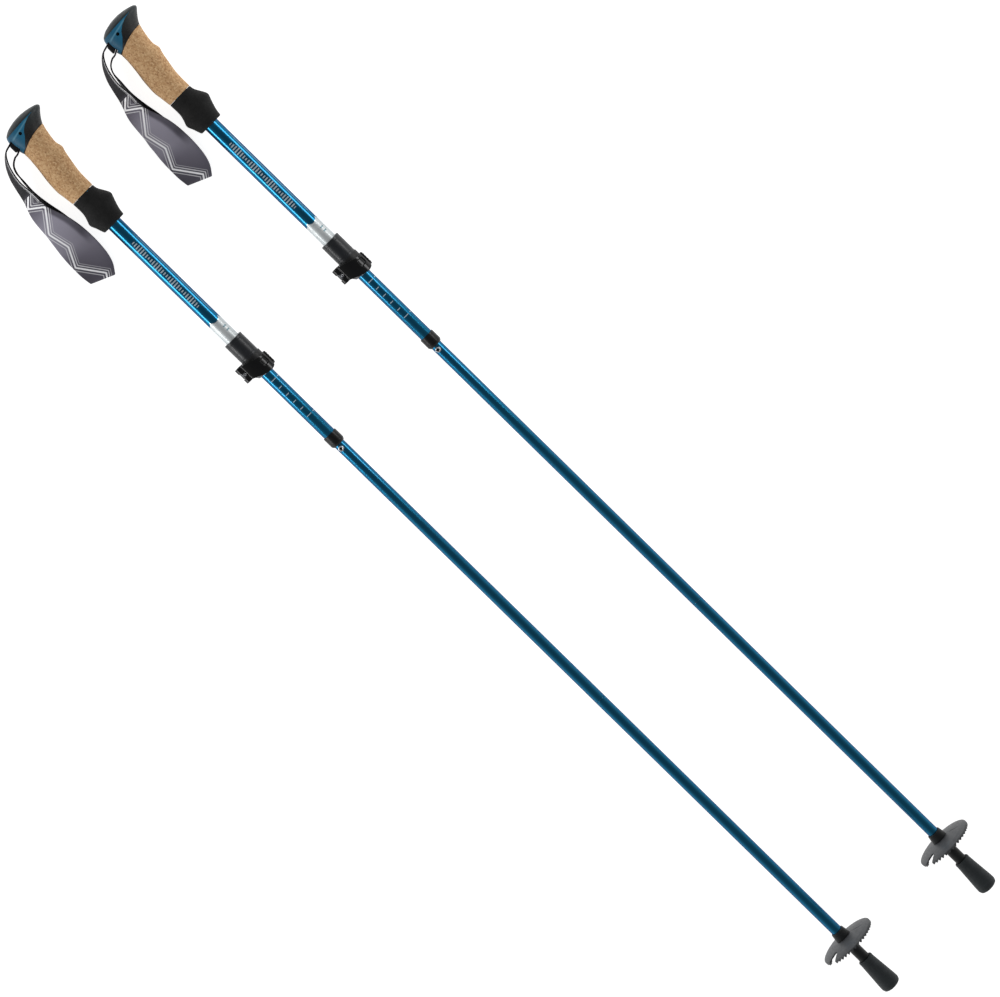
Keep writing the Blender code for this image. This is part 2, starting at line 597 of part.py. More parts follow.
def make_button(shop, lower):
    """Push button through the wall of the lower tube, and the folded leaf spring behind it."""
    seat = shop.empty("button_seat", (BUTTON_X, 0, 0), (BUTTON_LEAN, 0.0, 0.0))
    hole = cylinder_mesh("button_hole", BUTTON_RADIUS + GAP, 0.0, 12.0 * MM, 20)
    cut(lower, shop.place_cutter("button_hole", hole, (0, 0, 0), parent=seat))
    dimple_radius, dimple_depth = 1.25 * MM, 1.4 * MM
    outer = [(3.1 * MM, BUTTON_FLANGE_RADIUS), (3.9 * MM, BUTTON_FLANGE_RADIUS), (3.9 * MM, BUTTON_RADIUS),
             (BUTTON_TOP - 0.5 * MM, BUTTON_RADIUS), (BUTTON_TOP, BUTTON_RADIUS - 0.5 * MM),
             (BUTTON_TOP, dimple_radius), (BUTTON_TOP - dimple_depth, dimple_radius)]
    shop.place("lock_button", turned_mesh("lock_button", outer, None, 20), (0, 0, 0), "chrome", parent=seat)

    centre_line = ((3.5, 2.6), (-6.0, 2.3), (-14.0, 0.9), (-17.0, -1.2), (-16.0, -3.1), (-12.0, -3.8), (6.0, -4.0))
    leaf = bpy.data.meshes.new("button_spring")
    sheet = bmesh.new()
    rows = [[sheet.verts.new((x * MM, y, z * MM)) for y in (-SPRING_HALF_WIDTH, SPRING_HALF_WIDTH)]
            for x, z in centre_line]
    for first, second in zip(rows, rows[1:]):
        sheet.faces.new((first[0], first[1], second[1], second[0]))
    sheet.to_mesh(leaf)
    sheet.free()
    spring = shop.place("button_spring", smooth(leaf), (0, 0, 0), "spring_steel", parent=seat)
    solid = spring.modifiers.new("sheet_metal", "SOLIDIFY")
    solid.thickness = SPRING_THICKNESS
    solid.offset = 0.0
    cord_way = box_mesh("cord_way", (-20.0 * MM, -1.4 * MM, -2.6 * MM), (-10.0 * MM, 1.4 * MM, 2.0 * MM))
    cut(spring, shop.place_cutter("spring_cord_way", cord_way, (0, 0, 0), parent=seat))


def make_cord(shop):
    """The cord inside the folding sections, with a plug at each end."""
    upper_plug = (LOWER_TOP + 4.0 * MM, LOWER_TOP + 12.0 * MM)
    lower_plug = (FOLD_JOINT + 70.0 * MM, FOLD_JOINT + 78.0 * MM)
    for name, (start, end) in (("upper_cord_anchor", upper_plug), ("lower_cord_anchor", lower_plug)):
        turned(shop, name, "black_plastic", [(start, 5.1 * MM), (end, 5.1 * MM)], None, 20)
    curve = bpy.data.curves.new("tension_cord", "CURVE")
    curve.dimensions = "3D"
    curve.bevel_depth = 1.0 * MM
    curve.bevel_resolution = 2
    curve.use_fill_caps = True
    spline = curve.splines.new("POLY")
    spline.points.add(2)
    start, end = upper_plug[1] + GAP, lower_plug[0] - GAP
    for point, share in zip(spline.points, (0.0, 0.5, 1.0)):
        point.co = (start + share * (end - start), 0.0, 0.0, 1.0)
    curve.materials.append(shop.materials["cord"])
    obj = bpy.data.objects.new(f"{shop.side}_tension_cord", curve)
    shop.parts.objects.link(obj)
    obj.parent = shop.pole


# ---------------------------------------------------------------- tip

def make_basket(shop):
    """Shallow dished disc with a collar in the middle and saw teeth under the rim."""
    count = 2 * BASKET_TEETH
    angles = 2.0 * math.pi * np.arange(count) / count
    tooth = (np.arange(count) % 2) * 2.4

    def circle(radius, height):
        heights = np.full(count, height) if np.isscalar(height) else height
        return np.column_stack((heights, radius * np.cos(angles), radius * np.sin(angles))) * MM

    bore, collar, rim = BASKET_BORE / MM, 9.6, BASKET_RADIUS / MM
    loops = [circle(bore, 0.0), circle(rim - 4.0, 3.4), circle(rim, 5.2), circle(rim, 6.4 + tooth),
             circle(rim - 2.4, 6.4 + tooth), circle(collar + 1.0, 2.8), circle(collar, 8.0), circle(bore, 8.0)]
    start = HUB_END + GAP
    basket = shop.place("basket", joined_rings("basket", loops, closed=True), (start, 0, 0), "grey_plastic")
    inner, outer, half_width, bends = Vector((-18.0, 6.5)), Vector((-36.0, 21.0)), 3.9, 7
    direction = (outer - inner).normalized()
    heading = math.atan2(direction.y, direction.x)
    notch = [tuple(outer + Matrix.Rotation(heading + math.pi / 2.0, 2) @ Vector((half_width, 0.0)))]
    for i in range(bends):
        angle = heading + math.pi / 2.0 + math.pi * i / (bends - 1)
        notch.append(tuple(inner + Vector((math.cos(angle), math.sin(angle))) * half_width))
    notch.append(tuple(outer + Matrix.Rotation(heading - math.pi / 2.0, 2) @ Vector((half_width, 0.0))))
    cutter = outline_mesh("notch", notch, 12.0 * MM)
    # the outline's own x and y become the pole's y and z
    upright = Matrix(((0, 0, 1), (1, 0, 0), (0, 1, 0))).to_euler()
    cut(basket, shop.place_cutter("basket_notch", cutter, (start + 4.0 * MM, 0, 0), upright))


def make_tip(shop):
    point_radius, point_top, point_end = 1.6 * MM, 1216.0 * MM, 1246.0 * MM
    turned(shop, "tip_ferrule", "black_plastic",
           [(HUB_TOP, 7.2 * MM), (HUB_END, 8.8 * MM), (HUB_END, SHANK_RADIUS), (SHANK_END - 4.0 * MM, SHANK_RADIUS),
            (SHANK_END, 3.6 * MM), (SHANK_END, point_radius + GAP), (point_top - GAP, point_radius + GAP)],
           [(HUB_TOP, LOWER_RADIUS + GAP), (TIP_TUBE_END + GAP, LOWER_RADIUS + GAP), (TIP_TUBE_END + GAP, 0.0)])
    turned(shop, "carbide_tip", "carbide",
           [(point_top, point_radius), (point_end - 1.5 * MM, point_radius), (point_end, 0.9 * MM)], None, 16)
    sole_flat = 6.0 * MM
    turned(shop, "rubber_foot", "rubber",
           [(FOOT_TOP, 8.2 * MM), (FOOT_TOP + 0.8 * MM, 8.8 * MM), (FOOT_TOP + 3.4 * MM, 8.8 * MM),
            (FOOT_TOP + 4.2 * MM, 8.1 * MM), (LENGTH - 9.0 * MM, 10.6 * MM), (LENGTH - 6.0 * MM, FOOT_RADIUS),
            (LENGTH - 2.8 * MM, 9.9 * MM), (LENGTH - 0.8 * MM, 7.8 * MM), (LENGTH, sole_flat)],
           [(FOOT_TOP, SHANK_RADIUS + GAP), (SHANK_END - 4.0 * MM, SHANK_RADIUS + GAP),
            (SHANK_END + GAP, 4.0 * MM), (SHANK_END + GAP, 2.2 * MM), (point_end + MM, 2.2 * MM),
            (point_end + MM, 0.0)])


# ---------------------------------------------------------------- assembly

def lay_on_floor(shop):
    """Set the pair with its box centred on the origin and its lowest point on z = 0."""
    bpy.context.view_layer.update()
    depsgraph = bpy.context.evaluated_depsgraph_get()
    low, high = Vector((1e9, 1e9, 1e9)), Vector((-1e9, -1e9, -1e9))
    for obj in shop.parts.objects:
        if obj.type == "EMPTY":
            continue
        evaluated = obj.evaluated_get(depsgraph)
        mesh = evaluated.to_mesh()
        points = np.empty(len(mesh.vertices) * 3)
        mesh.vertices.foreach_get("co", points)
        matrix = np.array(evaluated.matrix_world)
        world = points.reshape(-1, 3) @ matrix[:3, :3].T + matrix[:3, 3]
        low = Vector(np.minimum(low, world.min(axis=0)))
        high = Vector(np.maximum(high, world.max(axis=0)))
        evaluated.to_mesh_clear()
    return Vector((-(low.x + high.x) / 2.0, -(low.y + high.y) / 2.0, -low.z))


def make_pole(shop, side, direction, pair):
    """Build one pole; direction is +1 for the right pole and -1 for the left one."""
    shop.side = side
    shop.pole = None
    touch_near, touch_far = 15.9 * MM, BASKET_RADIUS
    rise = math.asin((touch_far - touch_near) / (HUB_END - 10.0 * MM))
    half = POLE_SPACING / 2.0 - LENGTH / 2.0 * math.sin(SPLAY)
    shop.pole = shop.empty("pole", (0.0, direction * half, touch_near), (0.0, -rise, direction * SPLAY), pair)
    make_head(shop)
    make_grip(shop)
    make_strap(shop)
    lower = make_shaft(shop)
    make_clamp(shop)
    make_lever(shop)
    make_button(shop, lower)
    make_cord(shop)
    make_basket(shop)
    make_tip(shop)


def main():
    clear_scene()
    shop = Workshop()
    pair = bpy.data.objects.new("pair", None)
    shop.parts.objects.link(pair)
    for side, direction in (("right", 1.0), ("left", -1.0)):
        make_pole(shop, side, direction, pair)
    pair.location = lay_on_floor(shop)
    bpy.context.view_layer.update()


main()
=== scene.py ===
"""Looks of a pair of folding trekking poles that lie side by side on a pale floor.

Each pole has its own frame, in millimetres: x runs down the shaft from the crest of the head, y
points the way the nose of the head points, z is up, and the shaft's axis is y = z = 0. Every new
piece is a surface worked out in that frame as whole arrays; the pole then takes it to its place.
"""

import json
import math

import bmesh
import bpy
import numpy as np
from mathutils import Matrix, Vector


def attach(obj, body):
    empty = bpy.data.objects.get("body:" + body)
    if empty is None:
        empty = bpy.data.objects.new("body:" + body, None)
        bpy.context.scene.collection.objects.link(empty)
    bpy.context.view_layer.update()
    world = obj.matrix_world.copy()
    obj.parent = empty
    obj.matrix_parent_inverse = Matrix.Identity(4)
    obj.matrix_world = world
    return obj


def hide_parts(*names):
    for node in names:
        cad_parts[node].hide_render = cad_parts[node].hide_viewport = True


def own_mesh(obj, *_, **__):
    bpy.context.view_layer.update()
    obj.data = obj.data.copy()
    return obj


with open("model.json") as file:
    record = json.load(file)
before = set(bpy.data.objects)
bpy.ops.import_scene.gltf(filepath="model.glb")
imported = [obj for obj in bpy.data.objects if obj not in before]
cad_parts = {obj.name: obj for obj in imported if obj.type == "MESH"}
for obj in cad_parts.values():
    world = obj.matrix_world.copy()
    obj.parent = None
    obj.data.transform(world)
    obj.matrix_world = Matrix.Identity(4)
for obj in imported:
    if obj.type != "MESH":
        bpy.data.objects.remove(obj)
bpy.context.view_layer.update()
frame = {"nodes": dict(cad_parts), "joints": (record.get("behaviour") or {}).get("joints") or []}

MM = 0.001
TURN = 2.0 * math.pi
DOUBLED = 2e-6  # points of one skin closer than this many metres are one point
NO_PRINT = 60.0  # a distance in millimetres at which no printed line is near
JOINTS = {joint["name"]: joint for joint in frame["joints"]}
SIDES = ("right", "left")


class Pole:
    """One pole's frame, read from the joints that lie along its axes."""

    def __init__(self, side):
        self.side = side
        down = Vector(JOINTS[f"{side}_length_slide"]["axis"]).normalized()
        up = Vector(JOINTS[f"{side}_screw_turn"]["axis"]).normalized()
        self.axes = np.array([down, up.cross(down), up])
        hinge = np.array(JOINTS[f"{side}_lever_hinge"]["pos_m"])
        self.start = hinge - np.array([338.0, -16.6, 7.2]) * MM @ self.axes

    def world(self, points):
        return self.start + points * MM @ self.axes

    def local(self, world):
        return (world - self.start) @ self.axes.T / MM


POLES = {side: Pole(side) for side in SIDES}


# ---------------------------------------------------------------- surfaces

def lattice(points, close_rows=False, close_columns=True):
    """Points of a grid (rows, columns, 3) and the quads between neighbours, wrapped where closed."""
    rows, columns = points.shape[:2]
    i = np.arange(rows if close_rows else rows - 1)[:, None]
    j = np.arange(columns if close_columns else columns - 1)[None, :]
    below, beside = (i + 1) % rows, (j + 1) % columns
    corners = (i * columns + j, below * columns + j, below * columns + beside, i * columns + beside)
    quads = np.stack([np.broadcast_to(c, (len(i), j.shape[1])) for c in corners], -1)
    return points.reshape(-1, 3), quads.reshape(-1, 4)


def capped(grid):
    """The grid with its first and last rows closed on their own middles."""
    first, last = (row.mean(axis=1, keepdims=True) + 0 * row for row in (grid[:1], grid[-1:]))
    return np.concatenate([first, grid, last])


def curve_through(stations, steps, closed=False):
    """Catmull-Rom curve through every row of numbers, with steps pieces between two of them."""
    p = np.asarray(stations, float)
    if closed:
        p = np.concatenate([p[-1:], p, p[:2]])
    else:
        p = np.concatenate([2 * p[:1] - p[1:2], p, 2 * p[-1:] - p[-2:-1]])
    a, b, c, d = p[:-3, None], p[1:-2, None], p[2:-1, None], p[3:, None]
    t = (np.arange(steps) / steps)[None, :, None]
    rows = 0.5 * (2 * b + (c - a) * t + (2 * a - 5 * b + 4 * c - d) * t ** 2
                  + (3 * b - a - 3 * c + d) * t ** 3)
    rows = rows.reshape(-1, p.shape[1])
    return rows if closed else np.concatenate([rows, p[-2:-1]])


def softened(line, edge, closed=False, bends=4):
    """The same line with a quadratic curve in place of each corner, from edge before it to edge after."""
    p = np.asarray(line, float)
    before, after = np.roll(p, 1, axis=0) - p, np.roll(p, -1, axis=0) - p
    if not closed:
        before[0], after[-1] = 0.0, 0.0
    length_before = np.linalg.norm(before, axis=1)[:, None] + 1e-9
    length_after = np.linalg.norm(after, axis=1)[:, None] + 1e-9
    start = p + before / length_before * np.minimum(edge, 0.45 * length_before)
    end = p + after / length_after * np.minimum(edge, 0.45 * length_after)
    t = np.linspace(0.0, 1.0, bends + 1)[None, :, None]
    round_corner = (1 - t) ** 2 * start[:, None] + 2 * t * (1 - t) * p[:, None] + t ** 2 * end[:, None]
    if closed:
        return round_corner.reshape(-1, p.shape[1])
    return np.concatenate([p[:1], round_corner[1:-1].reshape(-1, p.shape[1]), p[-1:]])


def turned(profile, edge=0.35, hollow=False, segments=96):
    """A turned body: the line of (x, radius) carried round the shaft's axis. A hollow one's line closes."""
    line = softened(profile, edge, closed=hollow)
    angle = TURN * np.arange(segments) / segments
    x, radius = line[:, :1], line[:, 1:]
    grid = np.stack([x + 0 * angle, radius * np.sin(angle), radius * np.cos(angle)], -1)
    return lattice(grid, close_rows=hollow)


def tube(start, end, radius, bore, edge=0.25):
    """A straight pipe with softened rims."""
    return turned([(start, bore), (start, radius), (end, radius), (end, bore)], edge, hollow=True)


def moved(shell, rows, origin):
    """A shell whose own x, y and z are turned to the three rows and set at an origin."""
    points, faces = shell
    return points @ np.asarray(rows, float) + np.asarray(origin, float), faces


def block(outline, low, high, edge, bends=4):
    """A plate with rounded rims: a closed outline (n, 2) carried along its third axis from low to
    high. Within edge of either end it shrinks along its own normals by a quarter circle, and the
    end faces close on the outline's middle."""
    outline = np.asarray(outline, float)
    along = np.roll(outline, -1, axis=0) - np.roll(outline, 1, axis=0)
    normal = np.column_stack([along[:, 1], -along[:, 0]])
    normal /= np.linalg.norm(normal, axis=1)[:, None] + 1e-12
    area = np.sum(outline[:, 0] * np.roll(outline[:, 1], -1) - np.roll(outline[:, 0], -1) * outline[:, 1])
    normal *= math.copysign(1.0, area)
    quarter = np.linspace(0.0, math.pi / 2.0, bends + 1)
    inset = edge * (1.0 - np.sin(quarter))
    height = edge * (1.0 - np.cos(quarter))
    inset = np.concatenate([inset, inset[::-1]])
    height = np.concatenate([low + height, high - height[::-1]])
    walls = outline[None] - normal[None] * inset[:, None, None]
    middle = walls[0].mean(axis=0)
    spread = np.array([0.0, 0.5])[:, None, None]
    first, last = middle + (walls[0] - middle) * spread, middle + (walls[-1] - middle) * spread[::-1]
    flat = np.concatenate([first, walls, last])
    height = np.concatenate([[low, low], height, [high, high]])
    grid = np.concatenate([flat, np.broadcast_to(height[:, None, None], flat.shape[:2] + (1,))], -1)
    return lattice(grid)


def rounded_box(low, high, edge=0.6):
    """A box between two corners with all its edges rounded."""
    low, high = np.asarray(low, float), np.asarray(high, float)
    corners = [(low[0], low[1]), (high[0], low[1]), (high[0], high[1]), (low[0], high[1])]
    return block(softened(corners, edge * 1.6, closed=True), low[2], high[2], edge)


def smooth_step(value, low, high):
    """0 below low, 1 above high and an S-shaped rise between them."""
    t = np.clip((value - low) / (high - low), 0.0, 1.0)
    return t * t * (3.0 - 2.0 * t)


def place(pole, name, shells, look, body, slot, fields=None):
    """Join closed shells in one piece that stands for the node of its name, and set it at its place.
    Fields are numbers for each point, which a printed finish reads."""
    points, faces, count = [], [], 0
    for shell_points, shell_faces in shells:
        points.append(shell_points)
        faces.append(shell_faces + count)
        count += len(shell_points)
    mesh = bpy.data.meshes.new(f"{pole.side}_{name}_skin")
    mesh.from_pydata(pole.world(np.concatenate(points)).tolist(), [], np.concatenate(faces).tolist())
    if fields is None:
        skin = bmesh.new()
        skin.from_mesh(mesh)
        bmesh.ops.remove_doubles(skin, verts=skin.verts, dist=DOUBLED)
        bmesh.ops.dissolve_degenerate(skin, edges=skin.edges, dist=1e-6)
        bmesh.ops.recalc_face_normals(skin, faces=skin.faces)
        skin.to_mesh(mesh)
        skin.free()
    finish_mesh(mesh, pole, 38.0)
    for field, values in (fields or {}).items():
        attribute = mesh.attributes.new(field, "FLOAT", "POINT")
        attribute.data.foreach_set("value", np.asarray(values, np.float32).ravel())
    obj = bpy.data.objects.new(f"{pole.side}_{name}_look", mesh)
    bpy.context.scene.collection.objects.link(obj)
    mesh.materials.append(LOOKS[look])
    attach(obj, f"{pole.side}_{body}")
    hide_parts(f"{pole.side}_{name}")
    return obj


def finish_mesh(mesh, pole, angle):
    """Smooth shading up to an angle in degrees. Each point keeps its place in the pole's own frame as
    the attribute pole_mm."""
    mesh.shade_smooth()
    mesh.set_sharp_from_angle(angle=math.radians(angle))
    world = np.empty(len(mesh.vertices) * 3)
    mesh.vertices.foreach_get("co", world)
    place_in_pole = mesh.attributes.get("pole_mm") or mesh.attributes.new("pole_mm", "FLOAT_VECTOR", "POINT")
    place_in_pole.data.foreach_set("vector", pole.local(world.reshape(-1, 3)).astype(np.float32).ravel())


# ---------------------------------------------------------------- finishes

def new_group(name, inputs, outputs):
    """An empty shader node group with named sockets. Returns (group, inlet, outlet)."""
    group = bpy.data.node_groups.new(name, "ShaderNodeTree")
    for title, kind, value in inputs:
        socket = group.interface.new_socket(title, in_out="INPUT", socket_type=kind)
        if value is not None:
            socket.default_value = value
    for title, kind in outputs:
        group.interface.new_socket(title, in_out="OUTPUT", socket_type=kind)
    return group, group.nodes.new("NodeGroupInput"), group.nodes.new("NodeGroupOutput")


def fill(socket, value):
    """Join a node's output to a socket, or set the socket's own number or colour."""
    if isinstance(value, bpy.types.NodeSocket):
        socket.id_data.links.new(value, socket)
    elif isinstance(value, (tuple, list)) and len(value) == 3 and socket.type == "RGBA":
        socket.default_value = (*value, 1.0)
    else:
        socket.default_value = value


def add(tree, kind, settings=None, **inputs):
    """A node with its settings and its input sockets filled; underscores in names stand for spaces."""
    node = tree.nodes.new(kind)
    for key, value in (settings or {}).items():
        setattr(node, key, value)
    for key, value in inputs.items():
        fill(node.inputs[key.replace("_", " ")], value)
    return node


def maths(tree, operation, *values):
    """One sum of numbers that change over the surface."""
    node = tree.nodes.new("ShaderNodeMath")
    node.operation = operation
    for socket, value in zip(node.inputs, values):
        fill(socket, value)
    return node.outputs[0]


def mixed(tree, share, first, second):
    """A colour between two colours."""
    node = tree.nodes.new("ShaderNodeMix")
    node.data_type = "RGBA"
    fill(node.inputs[0], share)
    fill(node.inputs[6], first)
    fill(node.inputs[7], second)
    return node.outputs[2]


def grain_group():
    """Cloudy grain: noise at a scale, spread from low to high."""
    group, inlet, outlet = new_group("cloudy_grain", [
        ("Place", "NodeSocketVector", None), ("Scale", "NodeSocketFloat", 1.0), ("Low", "NodeSocketFloat", 0.0),
        ("High", "NodeSocketFloat", 1.0)], [("Value", "NodeSocketFloat")])
    noise = add(group, "ShaderNodeTexNoise", Vector=inlet.outputs["Place"], Scale=inlet.outputs["Scale"],
                Detail=4.0, Roughness=0.6)
    spread = add(group, "ShaderNodeMapRange", Value=noise.outputs[0], From_Min=0.3, From_Max=0.7,
                 To_Min=inlet.outputs["Low"], To_Max=inlet.outputs["High"])
    fill(outlet.inputs["Value"], spread.outputs[0])
    return group


def pits_group():
    """Small round pits: distance to the nearest cell point, deepest at the point."""
    group, inlet, outlet = new_group("small_pits", [
        ("Place", "NodeSocketVector", None), ("Scale", "NodeSocketFloat", 1.0),
        ("Size", "NodeSocketFloat", 0.35)], [("Height", "NodeSocketFloat")])
    cells = add(group, "ShaderNodeTexVoronoi", Vector=inlet.outputs["Place"], Scale=inlet.outputs["Scale"])
    height = add(group, "ShaderNodeMapRange", {"interpolation_type": "SMOOTHSTEP"},
                 Value=cells.outputs["Distance"], From_Min=0.0, From_Max=inlet.outputs["Size"])
    fill(outlet.inputs["Height"], height.outputs[0])
    return group


def scuff_group():
    """Few fine handling marks: noise stretched along x, kept only at its peaks."""
    group, inlet, outlet = new_group("handling_marks", [
        ("Place", "NodeSocketVector", None), ("Scale", "NodeSocketFloat", 1.0),
        ("Amount", "NodeSocketFloat", 0.3)], [("Mask", "NodeSocketFloat")])
    stretch = add(group, "ShaderNodeVectorMath", {"operation": "MULTIPLY"})
    fill(stretch.inputs[0], inlet.outputs["Place"])
    stretch.inputs[1].default_value = (0.25, 1.0, 1.0)
    noise = add(group, "ShaderNodeTexNoise", Vector=stretch.outputs[0], Scale=inlet.outputs["Scale"],
                Detail=6.0, Roughness=0.7, Distortion=0.4)
    peaks = add(group, "ShaderNodeMapRange", Value=noise.outputs[0], From_Min=0.56, From_Max=0.74)
    fill(outlet.inputs["Mask"], maths(group, "MULTIPLY", peaks.outputs[0], inlet.outputs["Amount"]))
    return group


def weave_group():
    """Plain weave: warp and weft threads as two crossed waves in the cloth's own millimetres."""
    group, inlet, outlet = new_group("plain_weave", [
        ("Along", "NodeSocketFloat", 0.0), ("Across", "NodeSocketFloat", 0.0),
        ("Pitch", "NodeSocketFloat", 0.8)], [("Height", "NodeSocketFloat")])
    warp = maths(group, "DIVIDE", inlet.outputs["Along"], inlet.outputs["Pitch"])
    weft = maths(group, "DIVIDE", inlet.outputs["Across"], inlet.outputs["Pitch"])
    crossed = maths(group, "MULTIPLY", maths(group, "SINE", maths(group, "MULTIPLY", warp, TURN)),
                    maths(group, "SINE", maths(group, "MULTIPLY", weft, TURN)))
    fill(outlet.inputs["Height"], maths(group, "MULTIPLY_ADD", crossed, 0.5, 0.5))
    return group


GRAIN, PITS, SCUFFS, WEAVE = grain_group(), pits_group(), scuff_group(), weave_group()


WORN_BLACK, WORN_BLUE = (0.25, 0.25, 0.25), (0.10, 0.25, 0.36)
BAND_START, RIM_HIGHLIGHT_START = 329.6, 349.3
BAR_PITCH = 3.1
BARS = (167.0, 257.5)
SILVER_START = 277.2
SCALE_ZERO, SCALE_STEP = 362.35, 10.0
BUTTON_WELL = (459.3, -2.3)


class Finish:
    """A material that is being made: its node tree, its shader, and the point that it reads."""

    def __init__(self, name, roughness=0.5, metallic=0.0, coat=0.0, coat_roughness=0.05, sheen=0.0,
                 on_pole=True, ior=1.5):
        self.material = bpy.data.materials.new(name)
        self.material.use_nodes = True
        self.tree = self.material.node_tree
        self.shader = self.tree.nodes["Principled BSDF"]
        for socket, value in (("Roughness", roughness), ("Metallic", metallic), ("Coat Weight", coat),
                              ("Coat Roughness", coat_roughness), ("Sheen Weight", sheen), ("IOR", ior)):
            self.shader.inputs[socket].default_value = value
        if on_pole:
            spot = add(self.tree, "ShaderNodeAttribute", {"attribute_name": "pole_mm"})
            self.place = spot.outputs["Vector"]
        else:
            spot = add(self.tree, "ShaderNodeTexCoord")
            millimetres = add(self.tree, "ShaderNodeVectorMath", {"operation": "SCALE"}, Scale=1000.0)
            fill(millimetres.inputs[0], spot.outputs["Object"])
            self.place = millimetres.outputs[0]

    def grain(self, size, low=0.0, high=1.0):
        """Clouds of a size in millimetres, from low to high."""
        return self.effect(GRAIN, Scale=1.0 / size, Low=low, High=high).outputs[0]

    def pits(self, size, share=0.35):
        """Pits a size apart in millimetres; share is how wide they are."""
        return self.effect(PITS, Scale=1.0 / size, Size=share).outputs[0]

    def scuffs(self, size, amount):
        """Handling marks of a size in millimetres."""
        return self.effect(SCUFFS, Scale=1.0 / size, Amount=amount).outputs[0]

    def effect(self, group, **inputs):
        """A shared effect at the point's place, with this finish's own values."""
        node = self.tree.nodes.new("ShaderNodeGroup")
        node.node_tree = group
        fill(node.inputs["Place"], self.place)
        for key, value in inputs.items():
            fill(node.inputs[key], value)
        return node

    def maths(self, operation, *values):
        return maths(self.tree, operation, *values)

    def times(self, first, second):
        return maths(self.tree, "MULTIPLY", first, second)

    def line(self, value, slope, start):
        """Slope times a value, plus start."""
        return maths(self.tree, "MULTIPLY_ADD", value, slope, start)

    def unsigned(self, value):
        return maths(self.tree, "ABSOLUTE", value)

    def most(self, first, second):
        return maths(self.tree, "MAXIMUM", first, second)

    def mixed(self, share, first, second):
        return mixed(self.tree, share, first, second)

    def ramp(self, value, low, high, first=0.0, last=1.0):
        """Runs from first at low to last at high, and stays level past them."""
        return add(self.tree, "ShaderNodeMapRange", Value=value, From_Min=low, From_Max=high, To_Min=first,
                   To_Max=last).outputs[0]

    def above(self, value, edge, soft):
        """1 where a value is over an edge, 0 under it, with a soft step."""
        return self.ramp(value, edge - soft, edge + soft)

    def under(self, value, edge, soft):
        """1 where a value is under an edge, 0 over it, with a soft step."""
        return self.ramp(value, edge - soft, edge + soft, 1.0, 0.0)

    def between(self, value, low, high, soft):
        """1 where a value lies between low and high, 0 outside, with soft steps."""
        return self.times(self.above(value, low, soft), self.under(value, high, soft))

    def parts(self):
        """The point's x, y and z as separate numbers."""
        return add(self.tree, "ShaderNodeSeparateXYZ", Vector=self.place).outputs

    def field(self, name):
        """A number that the piece keeps for each of its points."""
        return add(self.tree, "ShaderNodeAttribute", {"attribute_name": name}).outputs["Fac"]

    def color(self, value):
        fill(self.shader.inputs["Base Color"], value)

    def rough(self, value):
        fill(self.shader.inputs["Roughness"], value)

    def bump(self, height, distance, strength=1.0):
        """Relief of a height map, its distance in millimetres."""
        node = add(self.tree, "ShaderNodeBump", Height=height, Distance=distance * MM, Strength=strength)
        fill(self.shader.inputs["Normal"], node.outputs[0])


def moulded(name, dark, light, roughness=(0.4, 0.55), relief=0.02, size=1.2, marks=0.04, **options):
    """Moulded plastic or rubber: slight cloudiness in colour and gloss, fine relief, few light marks."""
    finish = Finish(name, **options)
    clouds = finish.grain(size * 9.0)
    body = finish.mixed(clouds, dark, light)
    finish.color(finish.mixed(finish.scuffs(4.0, marks), body, WORN_BLACK))
    finish.rough(finish.grain(size * 2.0, *roughness))
    finish.bump(finish.grain(size * 0.5), relief)
    return finish.material


def clamp_finish():
    """The clamp's body: grey-black sleeve, and a blacker band, ears and lug below it, with a painted highlight
    in light grey along the band's lower rim.
    """
    finish = Finish("clamp_nylon", ior=1.40)
    below = finish.above(finish.parts()[0], BAND_START, 0.2)
    sleeve = finish.mixed(finish.grain(10.0), (0.006, 0.007, 0.009), (0.013, 0.015, 0.018))
    band = finish.mixed(finish.grain(10.0), (0.0018, 0.0019, 0.0021), (0.004, 0.004, 0.0045))
    body = finish.mixed(below, sleeve, band)
    # painted highlight: the band's lower rim and the lug's end are painted light grey
    painted_rim_highlight = finish.above(finish.parts()[0], RIM_HIGHLIGHT_START, 0.2)
    body = finish.mixed(finish.times(painted_rim_highlight, 0.8), body, (0.16, 0.16, 0.17))
    finish.color(finish.mixed(finish.scuffs(4.0, 0.04), body, WORN_BLACK))
    finish.rough(finish.line(below, 0.16, finish.grain(2.4, 0.30, 0.42)))
    finish.bump(finish.grain(0.6), 0.02)
    return finish.material


def dotted_black():
    """Black soft-touch head with a field of fine raised dots, and a painted sheen: lighter and greenish towards
    the crest, darker towards the throat.
    """
    finish = Finish("dotted_black_head", ior=1.4)
    dots = finish.pits(1.15, 0.42)
    # painted sheen: the crest is painted lighter and greenish and the throat darker
    crest = finish.ramp(finish.parts()[0], 7.0, 17.0, 1.0, 0.0)
    throat = finish.mixed(finish.grain(9.0), (0.003, 0.003, 0.003), (0.007, 0.007, 0.007))
    top = finish.mixed(finish.grain(9.0), (0.010, 0.017, 0.019), (0.018, 0.026, 0.029))
    painted_sheen_base = finish.mixed(crest, throat, top)
    finish.color(finish.mixed(dots, (0.032, 0.036, 0.038), painted_sheen_base))
    finish.rough(finish.grain(3.0, 0.42, 0.58))
    finish.bump(dots, 0.16, 0.55)
    return finish.material


